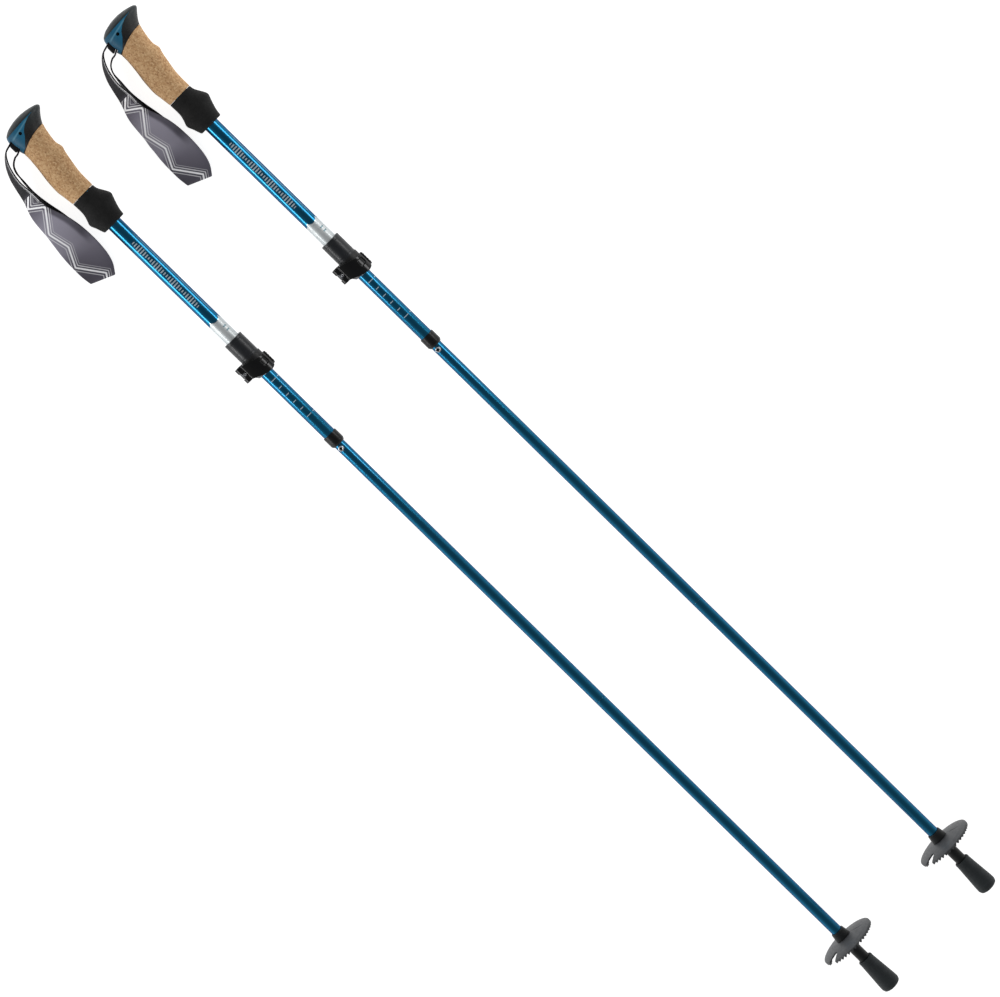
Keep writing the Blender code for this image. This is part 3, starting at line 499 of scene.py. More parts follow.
def inlay_blue():
    """Smooth hard blue plastic with a deeper tone towards the lower rear, and a painted highlight in a lighter
    streak along the scoop below its top edge.
    """
    finish = Finish("inlay_blue_plastic", coat=0.04, coat_roughness=0.3, ior=1.24)
    x, y, _ = finish.parts()
    # painted highlight: a lighter grey-blue streak along the scoop just below the inlay's top edge
    off_painted_highlight = finish.unsigned(finish.maths("ADD", finish.line(y, 0.2, -10.9), x))
    painted_highlight = finish.times(finish.under(off_painted_highlight, 0.7, 0.6), finish.between(y, -11.0, 13.5, 2.0))
    fore = finish.ramp(y, -16.0, 20.0)
    deep = finish.mixed(finish.grain(7.0), (0.006, 0.060, 0.112), (0.008, 0.072, 0.130))
    clear = finish.mixed(finish.grain(5.0), (0.020, 0.165, 0.300), (0.030, 0.200, 0.340))
    body = finish.mixed(fore, deep, clear)
    finish.color(finish.mixed(finish.times(painted_highlight, 0.5), body, (0.16, 0.36, 0.46)))
    finish.rough(finish.grain(2.5, 0.42, 0.52))
    finish.bump(finish.grain(1.2), 0.006)
    return finish.material


def cork_finish():
    """Pressed cork: granules of three tones, dark gaps between some of them and small voids."""
    finish = Finish("pressed_cork", ior=1.4)
    tree = finish.tree
    warp = add(tree, "ShaderNodeTexNoise", Vector=finish.place, Scale=0.9, Detail=2.0)
    bent = add(tree, "ShaderNodeVectorMath", {"operation": "MULTIPLY_ADD"})
    fill(bent.inputs[0], warp.outputs["Color"])
    bent.inputs[1].default_value = (0.9, 0.9, 0.9)
    fill(bent.inputs[2], finish.place)
    granules = add(tree, "ShaderNodeTexVoronoi", Vector=bent.outputs[0], Scale=0.72)
    tone = add(tree, "ShaderNodeSeparateColor", Color=granules.outputs["Color"])
    ramp = add(tree, "ShaderNodeValToRGB", Fac=tone.outputs[0])
    stops = ramp.color_ramp.elements
    stops[0].color, stops[1].color = (0.36, 0.19, 0.085, 1.0), (0.66, 0.44, 0.23, 1.0)
    for position, shade in ((0.18, (0.47, 0.265, 0.12)), (0.55, (0.55, 0.335, 0.165)),
                            (0.8, (0.61, 0.39, 0.20))):
        stops.new(position).color = (*shade, 1.0)
    edges = add(tree, "ShaderNodeTexVoronoi", {"feature": "DISTANCE_TO_EDGE"}, Vector=bent.outputs[0],
                Scale=0.72)
    seams = finish.ramp(edges.outputs["Distance"], 0.0, 0.09, 1.0, 0.0)
    seam_share = finish.times(seams, finish.grain(2.0, 0.0, 0.55))
    body = finish.mixed(seam_share, ramp.outputs[0], (0.26, 0.13, 0.055))
    voids = finish.pits(3.1, 0.16)
    speck = finish.maths("SUBTRACT", 1.0, voids)
    finish.color(finish.mixed(finish.times(speck, 0.75), body, (0.16, 0.075, 0.03)))
    finish.rough(finish.grain(1.5, 0.72, 0.9))
    relief = finish.maths("ADD", finish.times(seams, -0.35), voids)
    finish.bump(finish.maths("ADD", relief, finish.times(finish.grain(0.4), 0.25)), 0.12, 0.7)
    return finish.material


def foam_finish():
    """Matt black foam with fine open pores."""
    finish = Finish("black_foam", sheen=0.04, ior=1.3)
    finish.color(finish.mixed(finish.grain(6.0), (0.003, 0.003, 0.003), (0.009, 0.009, 0.009)))
    finish.rough(finish.grain(1.0, 0.7, 0.88))
    finish.bump(finish.maths("ADD", finish.pits(0.55, 0.5), finish.grain(1.6, 0.0, 0.5)), 0.07, 0.6)
    return finish.material


def anodised_base(name):
    """Blue anodised tube: a metal with a clear hard skin and faint lines drawn along it."""
    finish = Finish(name, metallic=1.0, coat=0.3, coat_roughness=0.12)
    finish.shader.inputs["Specular Tint"].default_value = (0.02, 0.12, 0.22, 1.0)
    drawn = add(finish.tree, "ShaderNodeVectorMath", {"operation": "MULTIPLY"})
    fill(drawn.inputs[0], finish.place)
    drawn.inputs[1].default_value = (0.02, 1.6, 1.6)
    lines = add(finish.tree, "ShaderNodeTexNoise", Vector=drawn.outputs[0], Scale=1.0, Detail=3.0)
    blue = finish.mixed(lines.outputs[0], (0.003, 0.112, 0.215), (0.005, 0.142, 0.270))
    finish.rough(finish.grain(14.0, 0.19, 0.27))
    return finish, blue


def plain_anodised():
    """The lower tubes: plain blue with a few worn streaks."""
    finish, blue = anodised_base("blue_anodised")
    finish.color(finish.mixed(finish.scuffs(6.0, 0.10), blue, WORN_BLUE))
    return finish.material


def arc_place(finish, radius):
    """The point's distance down the shaft, and its distance round it from the top line towards the nose."""
    x, y, z = finish.parts()
    return x, finish.times(finish.maths("ARCTAN2", y, z), radius)


def upper_tube_finish():
    """The top tube: a row of slim silver bars, a thin outline, and a silver band with a scalloped edge."""
    finish, blue = anodised_base("upper_tube_print")
    x, arc = arc_place(finish, 8.0)
    lobes = finish.unsigned(finish.maths("SINE", finish.line(arc, 0.25, 1.18)))
    edge = finish.line(finish.maths("POWER", lobes, 0.62), 4.0, SILVER_START)
    past_edge = finish.maths("SUBTRACT", x, edge)
    band = finish.above(past_edge, 0.0, 0.12)
    # the bars' half length swells and shrinks along the row
    swell = finish.maths("PINGPONG", finish.maths("SUBTRACT", x, 166.0), 11.6)
    half_length = finish.line(swell, 0.19, 1.3)
    reach = finish.maths("SUBTRACT", half_length, finish.unsigned(finish.maths("ADD", arc, 0.6)))
    beat = finish.unsigned(finish.maths("WRAP", x, BAR_PITCH / 2.0, -BAR_PITCH / 2.0))
    bars = finish.times(finish.above(reach, 0.0, 0.1), finish.under(beat, 0.72, 0.1))
    bars = finish.times(bars, finish.between(x, *BARS, 0.1))
    line = finish.times(finish.between(arc, 6.9, 7.4, 0.1), finish.between(x, 160.0, 268.0, 0.3))
    print_mask = finish.most(finish.times(bars, 0.8), finish.times(line, 0.5))
    rim = finish.between(past_edge, -0.55, 0.0, 0.1)
    painted = finish.line(band, -0.45, finish.line(print_mask, -0.9, 1.0))
    fill(finish.shader.inputs["Metallic"], painted)
    silver = finish.mixed(finish.grain(8.0), (0.52, 0.55, 0.56), (0.60, 0.63, 0.63))
    marks = finish.times(finish.between(finish.unsigned(finish.maths("WRAP", x, 291.9, 287.1)),
                                                    288.6, 290.2, 0.1), finish.between(arc, 2.4, 6.6, 0.15))
    marks = finish.times(marks, finish.between(x, 286.0, 297.5, 0.1))
    silver = finish.mixed(finish.times(marks, 0.75), silver, (0.05, 0.16, 0.20))
    body = finish.mixed(finish.most(print_mask, rim), blue, (0.52, 0.58, 0.60))
    finish.color(finish.mixed(band, body, silver))
    finish.rough(finish.line(finish.most(band, print_mask), 0.24,
                              finish.grain(14.0, 0.19, 0.26)))
    return finish.material


def middle_tube_finish():
    """The middle tube: a white centimetre scale with a longer mark at every fifth line."""
    finish, blue = anodised_base("middle_tube_scale")
    x, arc = arc_place(finish, 7.0)
    step = finish.maths("DIVIDE", finish.maths("SUBTRACT", x, SCALE_ZERO), SCALE_STEP)
    nearest = finish.maths("ROUND", step)
    off_mark = finish.unsigned(finish.maths("SUBTRACT", step, nearest))
    tick = finish.under(off_mark, 0.042, 0.008)
    fifth = finish.unsigned(finish.maths("WRAP", nearest, 2.5, -2.5))
    long_mark = finish.under(fifth, 0.25, 0.1)
    short_reach = finish.between(arc, -2.7, 1.2, 0.1)
    long_reach = finish.most(finish.between(arc, -3.4, 2.9, 0.1), finish.between(arc, 5.6, 8.2, 0.1))
    reach = finish.most(short_reach, finish.times(long_reach, long_mark))
    marks = finish.times(finish.times(tick, reach), finish.between(x, 290.0, 413.5, 0.1))
    fill(finish.shader.inputs["Metallic"], finish.line(marks, -0.8, 1.0))
    body = finish.mixed(finish.scuffs(6.0, 0.08), blue, WORN_BLUE)
    finish.color(finish.mixed(finish.times(marks, 0.8), body, (0.50, 0.60, 0.66)))
    finish.rough(finish.line(marks, 0.25, finish.grain(14.0, 0.2, 0.27)))
    return finish.material


def webbing_finish():
    """Printed webbing: plain weave, a dark to grey tone with painted shade across the band, and white zig-zag
    lines.
    """
    finish = Finish("printed_webbing", sheen=0.05, ior=1.15)
    tree = finish.tree
    along, across = finish.field("along_mm"), finish.field("across_mm")
    zigzag, tone_and_painted_shade = finish.field("zigzag_mm"), finish.field("tone_and_painted_shade")
    node = tree.nodes.new("ShaderNodeGroup")
    node.node_tree = WEAVE
    for name, value in (("Along", along), ("Across", across)):
        fill(node.inputs[name], value)
    node.inputs["Pitch"].default_value = 0.9
    weave = node.outputs[0]
    # the band's tone with its painted shade, from near black to grey
    ramp = add(tree, "ShaderNodeValToRGB", Fac=tone_and_painted_shade)
    stops = ramp.color_ramp.elements
    stops[0].color, stops[1].color = (0.004, 0.004, 0.005, 1.0), (0.350, 0.335, 0.400, 1.0)
    stops.new(0.5).color = (0.150, 0.141, 0.176, 1.0)
    lines = finish.between(zigzag, -0.85, 0.85, 0.18)
    for low, high, weight in ((2.3, 3.1, 0.75), (-3.4, -2.6, 0.55), (4.6, 5.1, 0.4)):
        side_line = finish.times(finish.between(zigzag, low, high, 0.16), weight)
        lines = finish.most(lines, side_line)
    edge = finish.field("edge_mm")
    for low, high, weight in ((0.7, 1.6, 0.8), (2.7, 3.3, 0.6)):
        lines = finish.most(lines, finish.times(finish.between(edge, low, high, 0.15), weight))
    printed = finish.mixed(lines, ramp.outputs[0], (0.88, 0.88, 0.90))
    shaded = finish.mixed(finish.times(weave, 0.22), printed, (0.0, 0.0, 0.0))
    finish.color(shaded)
    finish.rough(finish.grain(3.0, 0.6, 0.78))
    finish.bump(weave, 0.09, 0.6)
    return finish.material


def metal(name, dark, light, roughness, on_pole=True):
    """Bare metal: slightly cloudy in colour and gloss, with a fine ground relief."""
    finish = Finish(name, metallic=1.0, on_pole=on_pole)
    finish.color(finish.mixed(finish.grain(2.5), dark, light))
    finish.rough(finish.grain(1.2, *roughness))
    finish.bump(finish.grain(0.5), 0.006)
    return finish.material


def button_finish():
    """Bright turned steel with painted shade, near black, in the well in the middle."""
    finish = Finish("button_steel", metallic=1.0)
    x, y, _ = finish.parts()
    squares = [finish.maths("POWER", finish.maths("SUBTRACT", value, middle), 2.0)
               for value, middle in zip((x, y), BUTTON_WELL)]
    reach = finish.maths("SQRT", finish.maths("ADD", *squares))
    steel = finish.mixed(finish.grain(2.0), (0.50, 0.52, 0.53), (0.68, 0.70, 0.71))
    # painted shade: the well in the middle of the button is painted near black
    finish.color(finish.mixed(finish.under(reach, 1.35, 0.12), steel, (0.01, 0.012, 0.014)))
    finish.rough(finish.grain(1.2, 0.2, 0.3))
    return finish.material


def braided(name):
    """Braided cord: a fine diagonal weave that runs round it."""
    finish = Finish(name, sheen=0.1, on_pole=False)
    wave = add(finish.tree, "ShaderNodeTexWave", {"bands_direction": "DIAGONAL"}, Vector=finish.place,
               Scale=0.9, Distortion=0.5)
    finish.color(finish.mixed(wave.outputs["Fac"], (0.012, 0.012, 0.012), (0.05, 0.05, 0.05)))
    finish.rough(finish.grain(1.0, 0.7, 0.85))
    finish.bump(wave.outputs["Fac"], 0.08)
    return finish.material


LOOKS = {
    "head": dotted_black(),
    "inlay": inlay_blue(),
    "cork": cork_finish(),
    "foam": foam_finish(),
    "webbing": webbing_finish(),
    "upper_tube": upper_tube_finish(),
    "middle_tube": middle_tube_finish(),
    "lower_tube": plain_anodised(),
    "wedge": moulded("wedge_plastic", (0.003, 0.003, 0.004), (0.006, 0.006, 0.007), ior=1.35),
    "sleeve": clamp_finish(),
    "lever": moulded("lever_gloss_black", (0.0015, 0.0016, 0.0017), (0.0035, 0.0036, 0.0037), (0.14, 0.22),
                     0.008, marks=0.015, ior=1.36),
    "collar": moulded("collar_plastic", (0.0015, 0.0014, 0.0014), (0.0035, 0.0033, 0.0032), (0.28, 0.4),
                      ior=1.34),
    "ferrule": moulded("ferrule_plastic", (0.004, 0.005, 0.0055), (0.009, 0.0105, 0.011), (0.4, 0.55),
                       ior=1.34),
    "basket": moulded("basket_nylon", (0.034, 0.036, 0.040), (0.054, 0.057, 0.061), (0.40, 0.55), ior=1.42),
    "rubber": moulded("foot_rubber", (0.013, 0.017, 0.019), (0.024, 0.030, 0.033), (0.55, 0.72), 0.05, ior=1.4),
    "chrome": metal("polished_steel", (0.62, 0.63, 0.65), (0.78, 0.79, 0.80), (0.10, 0.18)),
    "button": button_finish(),
    "spring": metal("spring_steel_inside", (0.36, 0.37, 0.38), (0.48, 0.49, 0.50), (0.25, 0.38), False),
    "barrel": metal("dark_steel", (0.035, 0.036, 0.038), (0.060, 0.062, 0.065), (0.28, 0.38)),
    # painted shade: the strap pin is made near black so that its end reads as a dark hole in the head
    "pin": metal("pin_end_painted_shade", (0.010, 0.010, 0.011), (0.020, 0.020, 0.021), (0.35, 0.5), False),
    "carbide": metal("ground_carbide", (0.16, 0.16, 0.17), (0.26, 0.26, 0.27), (0.3, 0.42), False),
    "inner_black": moulded("inner_black_plastic", (0.010, 0.010, 0.011), (0.018, 0.018, 0.019), on_pole=False),
    "inner_white": moulded("bush_white_plastic", (0.60, 0.60, 0.57), (0.70, 0.70, 0.67), on_pole=False),
    "cord": braided("braided_cord"),
}


# ---------------------------------------------------------------- head and grip

# rings of the head, cork and lower grip: front x, front y, rear x, rear y, half width, bow
HEAD_RINGS = (
    (0.15, 12.0, 0.6, 1.0, 5.0, 0.0),
    (1.2, 20.0, 2.6, -7.5, 10.5, 0.0),
    (3.1, 27.2, 5.3, -12.6, 13.8, 0.0),
    (4.5, 30.4, 7.0, -14.4, 15.0, 0.0),
    (6.6, 31.9, 9.3, -15.5, 15.6, 0.0),
    (8.8, 30.9, 12.0, -16.1, 15.8, 0.2),
    (11.2, 28.6, 15.4, -16.3, 15.9, 0.6),
    (14.6, 25.7, 20.0, -16.0, 15.6, 1.0),
    (18.6, 22.8, 26.0, -14.6, 15.0, 1.8),
    (21.5, 21.3, 30.3, -13.3, 14.5, 2.3),
)
CORK_RINGS = (
    (21.8, 21.2, 30.6, -13.3, 14.4, 2.3),
    (30.0, 19.1, 37.0, -13.2, 14.2, 1.2),
    (42.7, 17.2, 44.0, -13.8, 14.0, 0.0),
    (50.8, 18.7, 51.0, -14.6, 14.0, 0.0),
    (56.8, 17.1, 57.5, -15.6, 13.8, 0.0),
    (65.0, 15.4, 66.0, -16.8, 13.5, 0.0),
    (78.8, 13.0, 78.8, -17.5, 13.2, 0.0),
    (88.0, 12.5, 88.0, -16.4, 13.0, 0.0),
    (98.5, 12.5, 98.5, -15.2, 12.8, 0.0),
)
FLARE_RINGS = (
    (98.8, 12.5, 98.8, -15.2, 12.8, 0.0),
    (104.0, 13.2, 106.5, -14.9, 12.8, 0.0),
    (109.4, 16.2, 114.0, -15.2, 14.0, 0.0),
    (116.4, 19.8, 121.0, -17.4, 16.6, 0.0),
    (120.6, 18.8, 125.5, -18.8, 17.0, 0.0),
    (127.6, 16.2, 131.8, -16.2, 15.2, 0.0),
    (134.5, 14.2, 136.0, -14.9, 13.9, 0.0),
    (140.7, 13.4, 140.7, -13.2, 13.2, 0.0),
)
INLAY_TOP = ((8.0, -22.0), (7.7, -14.1), (7.2, -4.2), (6.5, 9.9), (6.3, 22.6), (6.3, 40.0))
INLAY_UNDER = ((34.5, -22.0), (30.2, -13.2), (27.2, -8.5), (23.0, -4.2), (18.8, 0.0), (14.6, 2.8),
               (10.4, 8.5), (7.7, 15.6), (6.3, 22.6), (6.3, 40.0))
INLAY_TIP = 22.6
GRIP_BORE = 8.3
PIN = (13.6, -1.1)


def ring_points(table, angles, inset=0.0, shift=0.0):
    """Points of slices through the grip: an ellipse in y and z, on a slice that leans from its front
    x to its rear x and bows up in the middle."""
    front_x, front_y, rear_x, rear_y, width, bow = (table[:, i:i + 1] for i in range(6))
    middle, half = (front_y + rear_y) / 2.0, (front_y - rear_y) / 2.0
    y = middle + (half - inset) * np.cos(angles)
    z = (width - inset) * np.sin(angles)
    share = (y - middle) / half
    x = (front_x + rear_x) / 2.0 + share * (front_x - rear_x) / 2.0 - bow * (1.0 - share ** 2) + shift
    return np.stack([x, y, z], -1)


def grip_section(rings, steps=10, edge=0.5, columns=144, rounding=0):
    """A grip section round the tube: smooth skin through the rings, rounded rims, and a bore. Each
    pass of rounding moves a slice a quarter of the way to each of its neighbours."""
    table = curve_through(rings, steps)
    for _ in range(rounding):
        table[1:-1] = (table[:-2] + 2.0 * table[1:-1] + table[2:]) / 4.0
    angles = TURN * np.arange(columns) / columns
    bends = np.linspace(0.0, math.pi / 2.0, 5)[:-1]
    skin = ring_points(table, angles)
    top = [ring_points(table[:1], angles, edge * (1 - math.sin(b)), edge * (1 - math.cos(b))) for b in bends]
    end = [ring_points(table[-1:], angles, edge * (1 - math.sin(b)), -edge * (1 - math.cos(b)))
           for b in bends[::-1]]
    bore = np.stack([0 * angles, GRIP_BORE * np.cos(angles), GRIP_BORE * np.sin(angles)], -1)[None]
    first, last = bore.copy(), bore.copy()
    first[..., 0] = top[0][..., 0].mean()
    last[..., 0] = end[-1][..., 0].mean()
    inside = skin[3:-3]
    return lattice(np.concatenate([first, *top, inside, *end, last]), close_rows=True)


def rows_between(grid, start, end, count):
    """The grid read again between two row numbers, with fractions, that differ from column to column."""
    share = np.linspace(0.0, 1.0, count)[:, None]
    row = np.clip(start + (end - start) * share, 0.0, len(grid) - 1.0)
    low = np.clip(np.floor(row).astype(int), 0, len(grid) - 2)
    part = (row - low)[..., None]
    column = np.broadcast_to(np.arange(grid.shape[1]), low.shape)
    return grid[low, column] * (1.0 - part) + grid[low + 1, column] * part


def meeting_row(grid, line, step):
    """Row number where each column of the head crosses a line x(y) in the side view, moved by step
    down the shaft except at the inlay's tip."""
    line = np.asarray(line, float)
    line = line[np.argsort(line[:, 1])]
    y = grid[..., 1]
    target = np.interp(y, line[:, 1], line[:, 0]) + step * (0.3 + 0.7 * smooth_step(INLAY_TIP - y, 0.0, 3.0))
    gap = grid[..., 0] - target
    first = np.maximum(np.argmax(gap > 0.0, axis=0), 1)
    column = np.arange(grid.shape[1])
    before, after = gap[first - 1, column], gap[first, column]
    crossed = (gap > 0.0).any(axis=0)
    row = np.where(crossed, first - 1 + before / np.where(crossed, before - after, 1.0), len(grid))
    return np.minimum(row, len(grid) - 4.0 + 5.0 * step)


def hollowed(skin, wall=1.4):
    """The inner side of a skin: the same points drawn towards the shaft by the wall."""
    centre = np.array([0.0, 3.0, 0.0])
    flat = (skin - centre) * np.array([0.0, 1.0, 1.0])
    length = np.linalg.norm(flat, axis=-1, keepdims=True) + 1e-9
    return skin - flat * np.minimum(wall / length, 0.6)


def head_shells():
    """The black cap in two shells that meet at the nose, and the blue core that shows between them."""
    table = curve_through(HEAD_RINGS, 14)
    angles = TURN * np.arange(240) / 240
    grid = ring_points(table, angles)
    top = meeting_row(grid, INLAY_TOP, -0.10)
    under = meeting_row(grid, INLAY_UNDER, 0.10)
    crest_scale = np.array([0.0, 0.35, 0.65, 0.85])[:, None, None]
    rim = grid[:1]
    middle = rim.mean(axis=1, keepdims=True)
    crest = middle + (rim - middle) * crest_scale
    crest[..., 0] -= 0.12 * (1.0 - crest_scale[..., 0] ** 2)
    upper = rows_between(grid, np.zeros(240), top, 70)
    inner = hollowed(upper[::-1])[::6]
    floor = inner[-1:].mean(axis=1, keepdims=True) + 0 * inner[-1:]
    cap = lattice(np.concatenate([crest, upper, inner, floor]))
    lower = rows_between(grid, under, np.full(240, len(grid) - 1.0), 60)
    throat = lattice(np.concatenate([lower, hollowed(lower[::-1])[::6]]), close_rows=True)

    fine = TURN * np.linspace(0.0, 1.0, 421)
    skin = ring_points(table, fine)
    top, under = meeting_row(skin, INLAY_TOP, 0.05), meeting_row(skin, INLAY_UNDER, -0.05)
    open_columns = (under - top) > 0.02
    skin, top, under = skin[:, open_columns], top[open_columns], under[open_columns]
    face = rows_between(skin, top, under, 96)
    x, y, z = face[..., 0], face[..., 1], face[..., 2]
    # a scoop along the front of the inlay, and the pin's hole
    front = 10.6 - 0.20 * y
    fade = smooth_step(y, -8.0, 6.0) * smooth_step(INLAY_TIP - y, 1.0, 6.0)
    scoop = 0.55 * np.exp(-((x - front) / 2.6) ** 2) * fade
    hole = 2.2 * (1.0 - smooth_step(np.hypot(x - PIN[0], y - PIN[1]), 1.45, 1.85))
    z_in = (scoop + hole) * np.sign(z) * (np.abs(z) > 6.0)
    face = np.stack([x, y, z - z_in], -1)
    wall = np.concatenate([face, hollowed(face[::-1], 3.4)[::19]])
    ends = [wall[:, i:i + 1] * 0 + wall[:, i].mean(axis=0) for i in (0, -1)]
    core = lattice(np.concatenate([ends[0], wall, ends[1]], axis=1), close_rows=True, close_columns=False)
    return [cap, throat], [core]


STRAP_CAVITY = ((9.6, 3.4), (9.6, -2.0), (13.1, -18.4), (13.9, -22.0), (28.4, -22.0), (26.2, -16.2),
                (17.9, -1.4), (17.9, 3.4))


# ---------------------------------------------------------------- strap

# x, y, z, width, lean of the band from upright, turn of the band in plan (degrees)
STRAP_STATIONS = (
    (14.2, -18.4, 0.0, 14.0, 0.0, 0.0),
    (17.2, -26.0, 0.0, 14.6, 5.0, 10.0),
    (25.8, -32.8, 0.0, 17.0, 12.0, 20.0),
    (36.9, -37.5, 0.0, 20.0, 18.0, 10.0),
    (48.1, -40.0, 0.0, 22.0, 22.0, 0.0),
    (63.4, -41.4, 0.0, 25.0, 32.0, 0.0),
    (81.6, -44.4, -1.0, 26.0, 50.0, 0.0),
    (106.7, -41.9, -3.0, 34.0, 65.0, 0.0),
    (131.8, -42.3, -4.5, 37.0, 84.0, 0.0),
    (150.0, -43.2, -6.0, 36.6, 88.0, 8.0),
    (161.0, -44.8, -7.2, 34.0, 90.0, 16.0),
    (168.5, -47.0, -9.2, 29.0, 90.0, 22.0),
    (171.2, -47.8, -12.7, 26.5, 90.0, 24.0),
    (168.5, -47.0, -16.0, 28.0, 90.0, 22.0),
    (161.0, -44.8, -16.9, 32.0, 90.0, 16.0),
    (150.0, -43.2, -16.8, 35.0, 90.0, 8.0),
    (131.8, -42.3, -16.0, 35.5, 88.0, 0.0),
    (106.7, -42.3, -12.6, 31.0, 78.0, 0.0),
    (81.6, -38.5, -6.0, 25.0, 36.0, 0.0),
    (63.4, -35.0, -4.0, 23.0, 8.0, 0.0),
    (48.1, -33.4, -3.0, 21.0, 4.0, 0.0),
    (37.5, -32.0, -1.0, 18.0, 0.0, 0.0),
    (30.6, -28.6, 0.0, 15.2, 0.0, 0.0),
    (26.4, -22.5, 0.0, 14.0, 0.0, 0.0),
    (25.0, -16.4, 0.0, 14.0, 0.0, 0.0),
)
STRAP_PIN_RADIUS = 2.95
STRAP_THICKNESS = 1.5
STRAP_LEG_END = 12.2  # the upper leg of the band ends past this station
ZIGZAG = ((48.0, -41.0), (56.0, -34.0), (70.4, -50.2), (80.9, -36.1), (102.5, -53.7), (124.8, -48.8),
          (144.3, -58.7), (169.4, -41.0), (190.0, -56.0))


def zigzag_distance(x, y):
    """Signed distance to a zig-zag line, kept sharp at its corners: near a corner it is the lesser
    of the distances to the two legs at a valley, and the greater at a peak."""
    nodes = np.asarray(ZIGZAG)
    leg = np.diff(nodes, axis=0)
    slope = leg[:, 1] / leg[:, 0]
    cosine = 1.0 / np.sqrt(1.0 + slope ** 2)
    to_leg = (y[..., None] - nodes[:-1, 1] - slope * (x[..., None] - nodes[:-1, 0])) * cosine
    middle = (nodes[:-1, 0] + nodes[1:, 0]) / 2.0
    corner = np.clip(np.searchsorted(middle, x) - 1, 0, len(leg) - 2)
    first = np.take_along_axis(to_leg, corner[..., None], -1)[..., 0]
    second = np.take_along_axis(to_leg, corner[..., None] + 1, -1)[..., 0]
    peak = slope[corner] > slope[corner + 1]
    return np.where(peak, np.maximum(first, second), np.minimum(first, second))


def strap_shell(steps=14, across_steps=26):
    """One closed band: a flat section with rounded edges carried along a closed curve that leans and
    turns it. Returns the shell and, for each point, its place in the cloth, its print and its tone with painted
    shade."""
    round_pin = []
    for degrees in (105.0, 60.0, 10.0, -40.0, -85.0):
        angle = math.radians(degrees)
        round_pin.append((PIN[0] + STRAP_PIN_RADIUS * math.sin(angle),
                          PIN[1] + STRAP_PIN_RADIUS * math.cos(angle), 0.0, 14.0, 0.0, 0.0))
    path = curve_through(STRAP_STATIONS + tuple(round_pin), steps, closed=True)
    centre, half = path[:, :3], path[:, 3:4] / 2.0
    lean, turn = np.radians(path[:, 4]), np.radians(path[:, 5])
    across = np.column_stack([np.sin(lean) * np.sin(turn), np.sin(lean) * np.cos(turn), np.cos(lean)])
    heading = np.roll(centre, -1, axis=0) - np.roll(centre, 1, axis=0)
    normal = np.cross(heading, across)
    normal /= np.linalg.norm(normal, axis=1)[:, None]
    thick = STRAP_THICKNESS / 2.0
    flat = np.linspace(-1.0, 1.0, across_steps)
    bend = np.linspace(-math.pi / 2.0, math.pi / 2.0, 7)[1:-1]
    # section: face share s of the flat width, edge part e beyond it, height k above the middle
    s = np.concatenate([flat, np.full(5, 1.0), -flat, np.full(5, -1.0)])
    e = np.concatenate([0 * flat, np.cos(bend), 0 * flat, -np.cos(bend)]) * thick
    k = np.concatenate([0 * flat + 1, -np.sin(bend), 0 * flat - 1, np.sin(bend)]) * thick
    side = s[None] * (half - thick) + e[None]
    points = centre[:, None] + across[:, None] * side[..., None] + normal[:, None] * k[None, :, None]
    gone = np.cumsum(np.linalg.norm(heading, axis=1) / 2.0)
    along = np.broadcast_to(gone[:, None], side.shape)
    x, y = points[..., 0], points[..., 1]
    zigzag = zigzag_distance(x, y)
    station = np.arange(len(path))[:, None] / steps
    upper = (station < STRAP_LEG_END) & (x > 34.0)
    face_up = np.broadcast_to((normal[:, 2:3] * k[None] > 0.0), side.shape)
    shown = upper & face_up
    zigzag = np.where(shown, zigzag, NO_PRINT)
    share = (side / half + 1.0) / 2.0
    # the printed face's tone along the strap: near black up to x 58, lightest near x 95, darker again towards
    # the loop's bottom
    down = np.interp(x, (30.0, 58.0, 72.0, 95.0, 128.0, 142.0, 152.0, 172.0),
                     (0.02, 0.03, 0.36, 0.84, 0.78, 0.52, 0.42, 0.26))
    # painted shade: a dark band along one rolled edge of the face; past x 122 the face grows lighter towards
    # that edge instead
    painted_shade_edge = 1.0 - 0.62 * smooth_step(share, 0.74, 0.86)
    light_edge = 0.68 + 0.62 * share
    tone_and_painted_shade = down * (painted_shade_edge + (light_edge - painted_shade_edge) * smooth_step(x, 122.0, 142.0))
    tone_and_painted_shade = np.where(shown, tone_and_painted_shade, 0.03)
    zigzag = np.where(x > 62.0, zigzag, NO_PRINT)
    to_edge = np.where(face_up & (station < STRAP_LEG_END) & (x > 20.0) & (x < 74.0), half - side, NO_PRINT)
    shell = lattice(points, close_rows=True)
    fields = {"along_mm": along, "across_mm": side, "zigzag_mm": zigzag, "edge_mm": to_edge,
              "tone_and_painted_shade": np.clip(tone_and_painted_shade, 0.0, 1.0)}
    return shell, fields, float(gone[-1]), float(path[:, 3].mean())


WEDGE_OUTLINE = ((12.8, -5.0), (14.2, -14.6), (15.4, -18.1), (23.4, -18.1), (23.8, -16.3), (17.2, -5.2))


# ---------------------------------------------------------------- clamp

